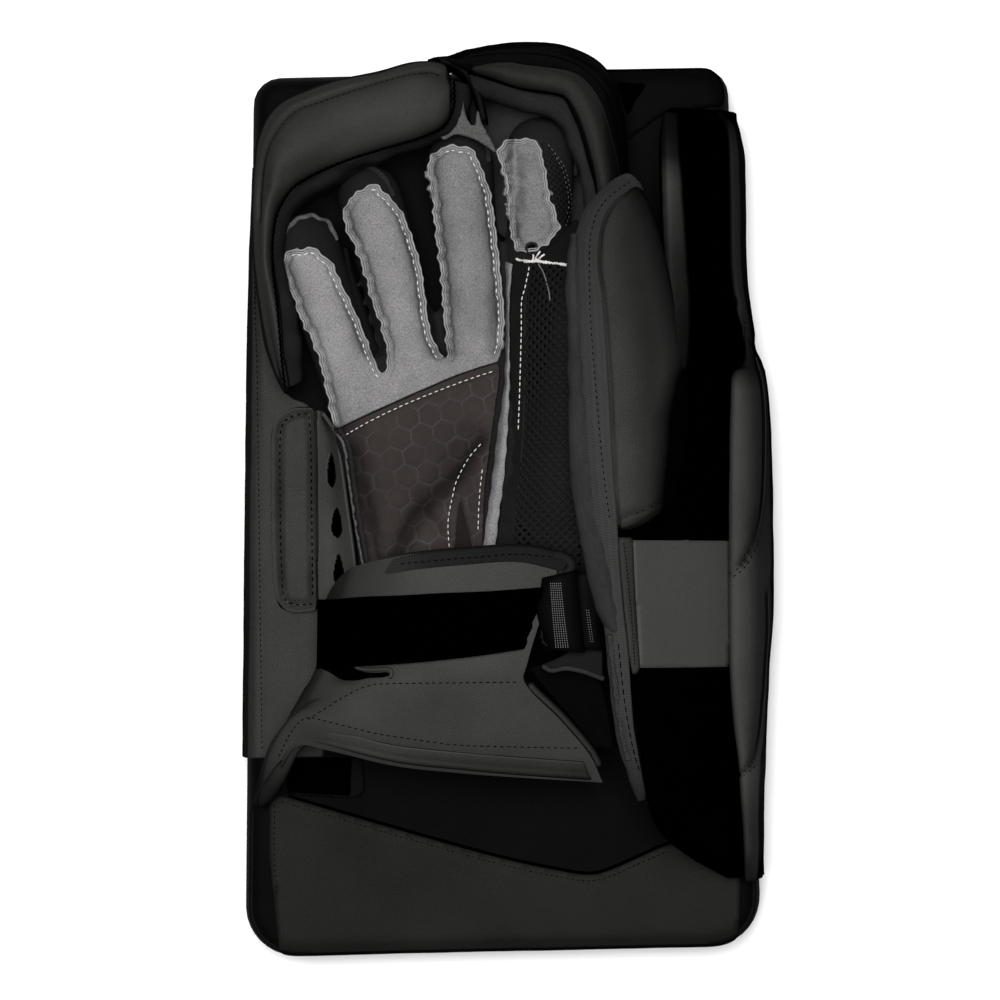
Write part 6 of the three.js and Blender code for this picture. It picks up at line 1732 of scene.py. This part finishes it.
# Ribbed binding round the thumb guard's inner edge and down the side board, with the lining roll beside it
bandLeft = [(61.4, 130.6, 87), (56.6, 134.0, 94), (50.5, 131.6, 98), (42.8, 125.0, 100), (37.0, 117.2, 101), (33.8, 108.5, 101.5),
    (32.6, 98, 101.6), (32.4, 82.0, 101.6), (33.2, 46.8, 101.6), (34.6, 11.5, 101), (36.6, -10.6, 99.4), (39.6, -30, 97), (42.0, -50, 95.6),
    (43.2, -67.0, 94.4), (44.4, -80, 92.6), (45.6, -91.8, 90.4), (47.6, -104.3, 87), (50.6, -114.8, 84), (52.8, -121.6, 82.0),
    (55.0, -127.2, 80)]
bandRight = [(62.4, 127.2, 88), (59.4, 128.6, 97), (55.1, 125.9, 101), (49.3, 121.3, 102.8), (44.9, 113.6, 104.0), (43.0, 104.1, 104.6),
    (42.6, 93.8, 104.8), (44.1, 81.4, 104.9), (45.6, 50.6, 105.2), (46.8, 11.1, 105.2), (47.9, -8, 104), (48.6, -25.9, 99.5),
    (50.1, -48, 97.6), (51.6, -64, 96.6), (52.4, -79.8, 94.6), (53.3, -94.7, 91.2), (55.1, -106.7, 87.6), (56.6, -115.6, 84.6),
    (57.6, -121.6, 82.2), (58.2, -126.4, 80)]
shares = np.linspace(0, 1, 200)
leftRun = readLine(bandLeft, shares, reach=3)
rightRun = readLine(bandRight, shares, reach=3)
bandNet = np.zeros((200, 22, 3))
for i in range(200):
    a, b = leftRun[i], rightRun[i]
    outward = (a - b) / max(np.linalg.norm(a - b), 1e-6)
    section = [b + [0, 0, 0.2], b * 0.66 + a * 0.34 + [0, 0, 1.1], b * 0.3 + a * 0.7 + [0, 0, 0.9], a + [0, 0, -0.6],
        a + outward * 0.4 + [0, 0, -3.2], a - outward * 0.8 + [0, 0, -6.2], a - outward * 3.4 + [0, 0, -7.6]]
    bandNet[i] = readLine(section, np.linspace(0, 1, 22), reach=3)
innerBinding = gridPiece("innerBinding", bandNet, binding, facing="up")
crumple(innerBinding, 0.4, 9, 3.0, -1.0)
bindingStitch = [(57.0, 130.4), (51.1, 126.5), (44.8, 120.9), (41.2, 113.6), (39.4, 104.1), (38.8, 81.5), (40.1, 51.0), (41.9, 23.8),
    (43.2, 7.3), (45.0, -9.3)]
press(innerBinding, evenly(bindingStitch, 1.2), 1.2, 0.5)
shadeBy(innerBinding, lambda s: np.interp(s[:, 1], [-131, -122, -108, -88, 30, 70, 110, 131], [0.15, 0.35, 0.8, 1.0, 1.0, 0.88, 0.6, 0.45]))
clothWall(innerBinding, 1.0, lengthOf(bandLeft, reach=3))
addPiece(innerBinding, ())
frayed = evenly([(44.2, -57.5, 96.4), (45.3, -70, 95.2), (46.6, -84, 93.0), (48.4, -98, 89.8), (51.0, -109, 86.8)], 0.8, reach=3)
thick = 1.4 + 0.4 * unevenness(len(frayed), 0.2, 5.0, 1.0)
addPiece(crumple(tubePiece("frayedEdge", frayed, thick, thick * 0.7, rawBinding, 12), 0.5, 3, 6.0, -1.0), ())
rollPath = [(33.4, 108.5, 98), (32.4, 98, 98), (32.4, 82.0, 98), (33.4, 46.8, 98), (35.2, 11.5, 97.4), (38.0, -10.6, 96), (40.4, -24, 95),
    (42.4, -39, 94), (44.2, -48, 93.4), (46.6, -55, 92.6)]
roll = evenly(rollPath, 2.0, reach=3)
thick = np.interp(np.linspace(0, 1, len(roll)), [0, 0.06, 0.25, 0.5, 0.65, 0.8, 0.95, 1], [2.0, 2.8, 3.4, 5.2, 6.2, 6.6, 5.2, 3.0])
thick *= 1 + 0.06 * unevenness(len(roll), 0.22, 1.0, 1.0)
thumbLining = tubePiece("thumbLining", roll, thick, 5.4, paleLining, 26)
crumple(thumbLining, 0.8, 10, 4.0, -1.0)
addPiece(thumbLining, ["thumb_lining"])
print("thumb guard made")

# Dark stitching on the leather
stitchSets = [("guardStitches", treeOf(fingerGuard), [sideStep(evenly(guardSeam, 1.0), 1.2)], 2.4, 1.5, 0.5),
    ("wrapStitches", wrapTree, [wrapStitch], 2.3, 1.4, 0.5), ("tabStitches", treeOf(sideTab), [tabSeam, tabSeamRight], 3.0, 1.9, 0.75),
    ("panelStitches", panelTree, [[(x, y - 2.6) for x, y in lowerSeam[:-2]], [(-99.6, -128), (-100.2, -150), (-99.4, -166)]], 2.3, 1.5,
    0.45), ("cuffStitches", cuffTree, [[(x, y + 1.6) for x, y in upperSeam], [(x, y + 1.4) for x, y in bindSeam],
    [(-42.2, -25.6), (-25.5, -24.4), (-8.8, -23.4), (7.8, -22.6), (22.4, -24.4)]], 2.8, 1.8, 0.55),
    ("leafStitches", treeOf(innerBinding, thumbGuard), [bindingStitch, leafHem], 2.6, 1.5, 0.55),
    ("frayStitches", treeOf(innerBinding), [[(47.6, -60), (48.8, -75), (50.4, -90), (52.8, -104), (55.4, -114)]], 3.8, 3.2, 0.6),
    ("padStitches", padTree, [sideStep(evenly(padSeams[0][0][:3], 1.0), 1.6), sideStep(evenly(padSeams[1][0][:2], 1.0), 1.6)], 2.8, 1.7,
    0.5), ("patchEdgeStitches", treeOf(sidePatch, edgeStrip), [waver(evenly([(50.9, -18.6), (51.4, -24), (52.2, -32.3), (53.0, -42.7),
    (53.9, -59.3), (54.4, -69.5)], 0.6), 0.55, 3.6, 2.0)], 1.6, 1.3, 0.5), ]
for name, tree, lines, pitch, length, thick in stitchSets:
    addPiece(stitchOn(name, tree, lines, darkThread, pitch, length, thick, 0.12), ())
print("stitching made")

# Floor, light and camera

floorLook = {"tone": (0.93, 0.93, 0.93), "rough": 0.9, "half": 6.0, "drop": 0.0004}
floorMaterial = Nodes("pale floor")
floorNoise = floorMaterial.texture("Noise", Scale=3.0, Detail=2.0)
floorTone = floorMaterial.tint(floorLook["tone"], floorMaterial.ramp(floorNoise.outputs["Fac"], 0.99, 1.0))
floorMaterial.feed(floorTone, floorMaterial.shader.inputs["Base Color"])
floorMaterial.feed(floorLook["rough"], floorMaterial.shader.inputs["Roughness"])
bm = bmesh.new()
bmesh.ops.create_grid(bm, x_segments=4, y_segments=4, size=floorLook["half"])
floor = finishMesh("floor", bm, floorMaterial.material, facing="up")
for v in floor.data.vertices:
    v.co.z = -floorLook["drop"]

lightSetup = {"overhead": 98.0, "size": 1.3, "x": -0.15, "y": 0.25, "height": 2.4, "sky": 0.12}
lamp = bpy.data.lights.new("overhead", "AREA")
lamp.shape = "SQUARE"
lamp.size = lightSetup["size"]
lamp.energy = lightSetup["overhead"]
lampObject = bpy.data.objects.new("overhead", lamp)
lampObject.location = (lightSetup["x"], lightSetup["y"], lightSetup["height"])
lampObject.rotation_euler = lampObject.location.to_track_quat("Z", "Y").to_euler()
scene.collection.objects.link(lampObject)
world = bpy.data.worlds.new("studio")
world.use_nodes = True
world.node_tree.nodes["Background"].inputs["Color"].default_value = (1, 1, 1, 1)
world.node_tree.nodes["Background"].inputs["Strength"].default_value = lightSetup["sky"]
scene.world = world
scene.view_settings.view_transform = "Standard"
scene.view_settings.look = "None"

cameraSetup = {"height": 1.8, "frame": 0.4373, "roll": 1.3, "sensor": 36.0}
camera = bpy.data.cameras.new("camera")
camera.sensor_width = cameraSetup["sensor"]
camera.lens = cameraSetup["sensor"] * cameraSetup["height"] / cameraSetup["frame"]
camera.clip_end = 20.0
cameraObject = bpy.data.objects.new("camera", camera)
cameraObject.location = (place["x"] * place["unit"], place["y"] * place["unit"], cameraSetup["height"])
cameraObject.rotation_euler = (0, 0, math.radians(-cameraSetup["roll"]))
scene.collection.objects.link(cameraObject)
scene.camera = cameraObject

print("scene finished")
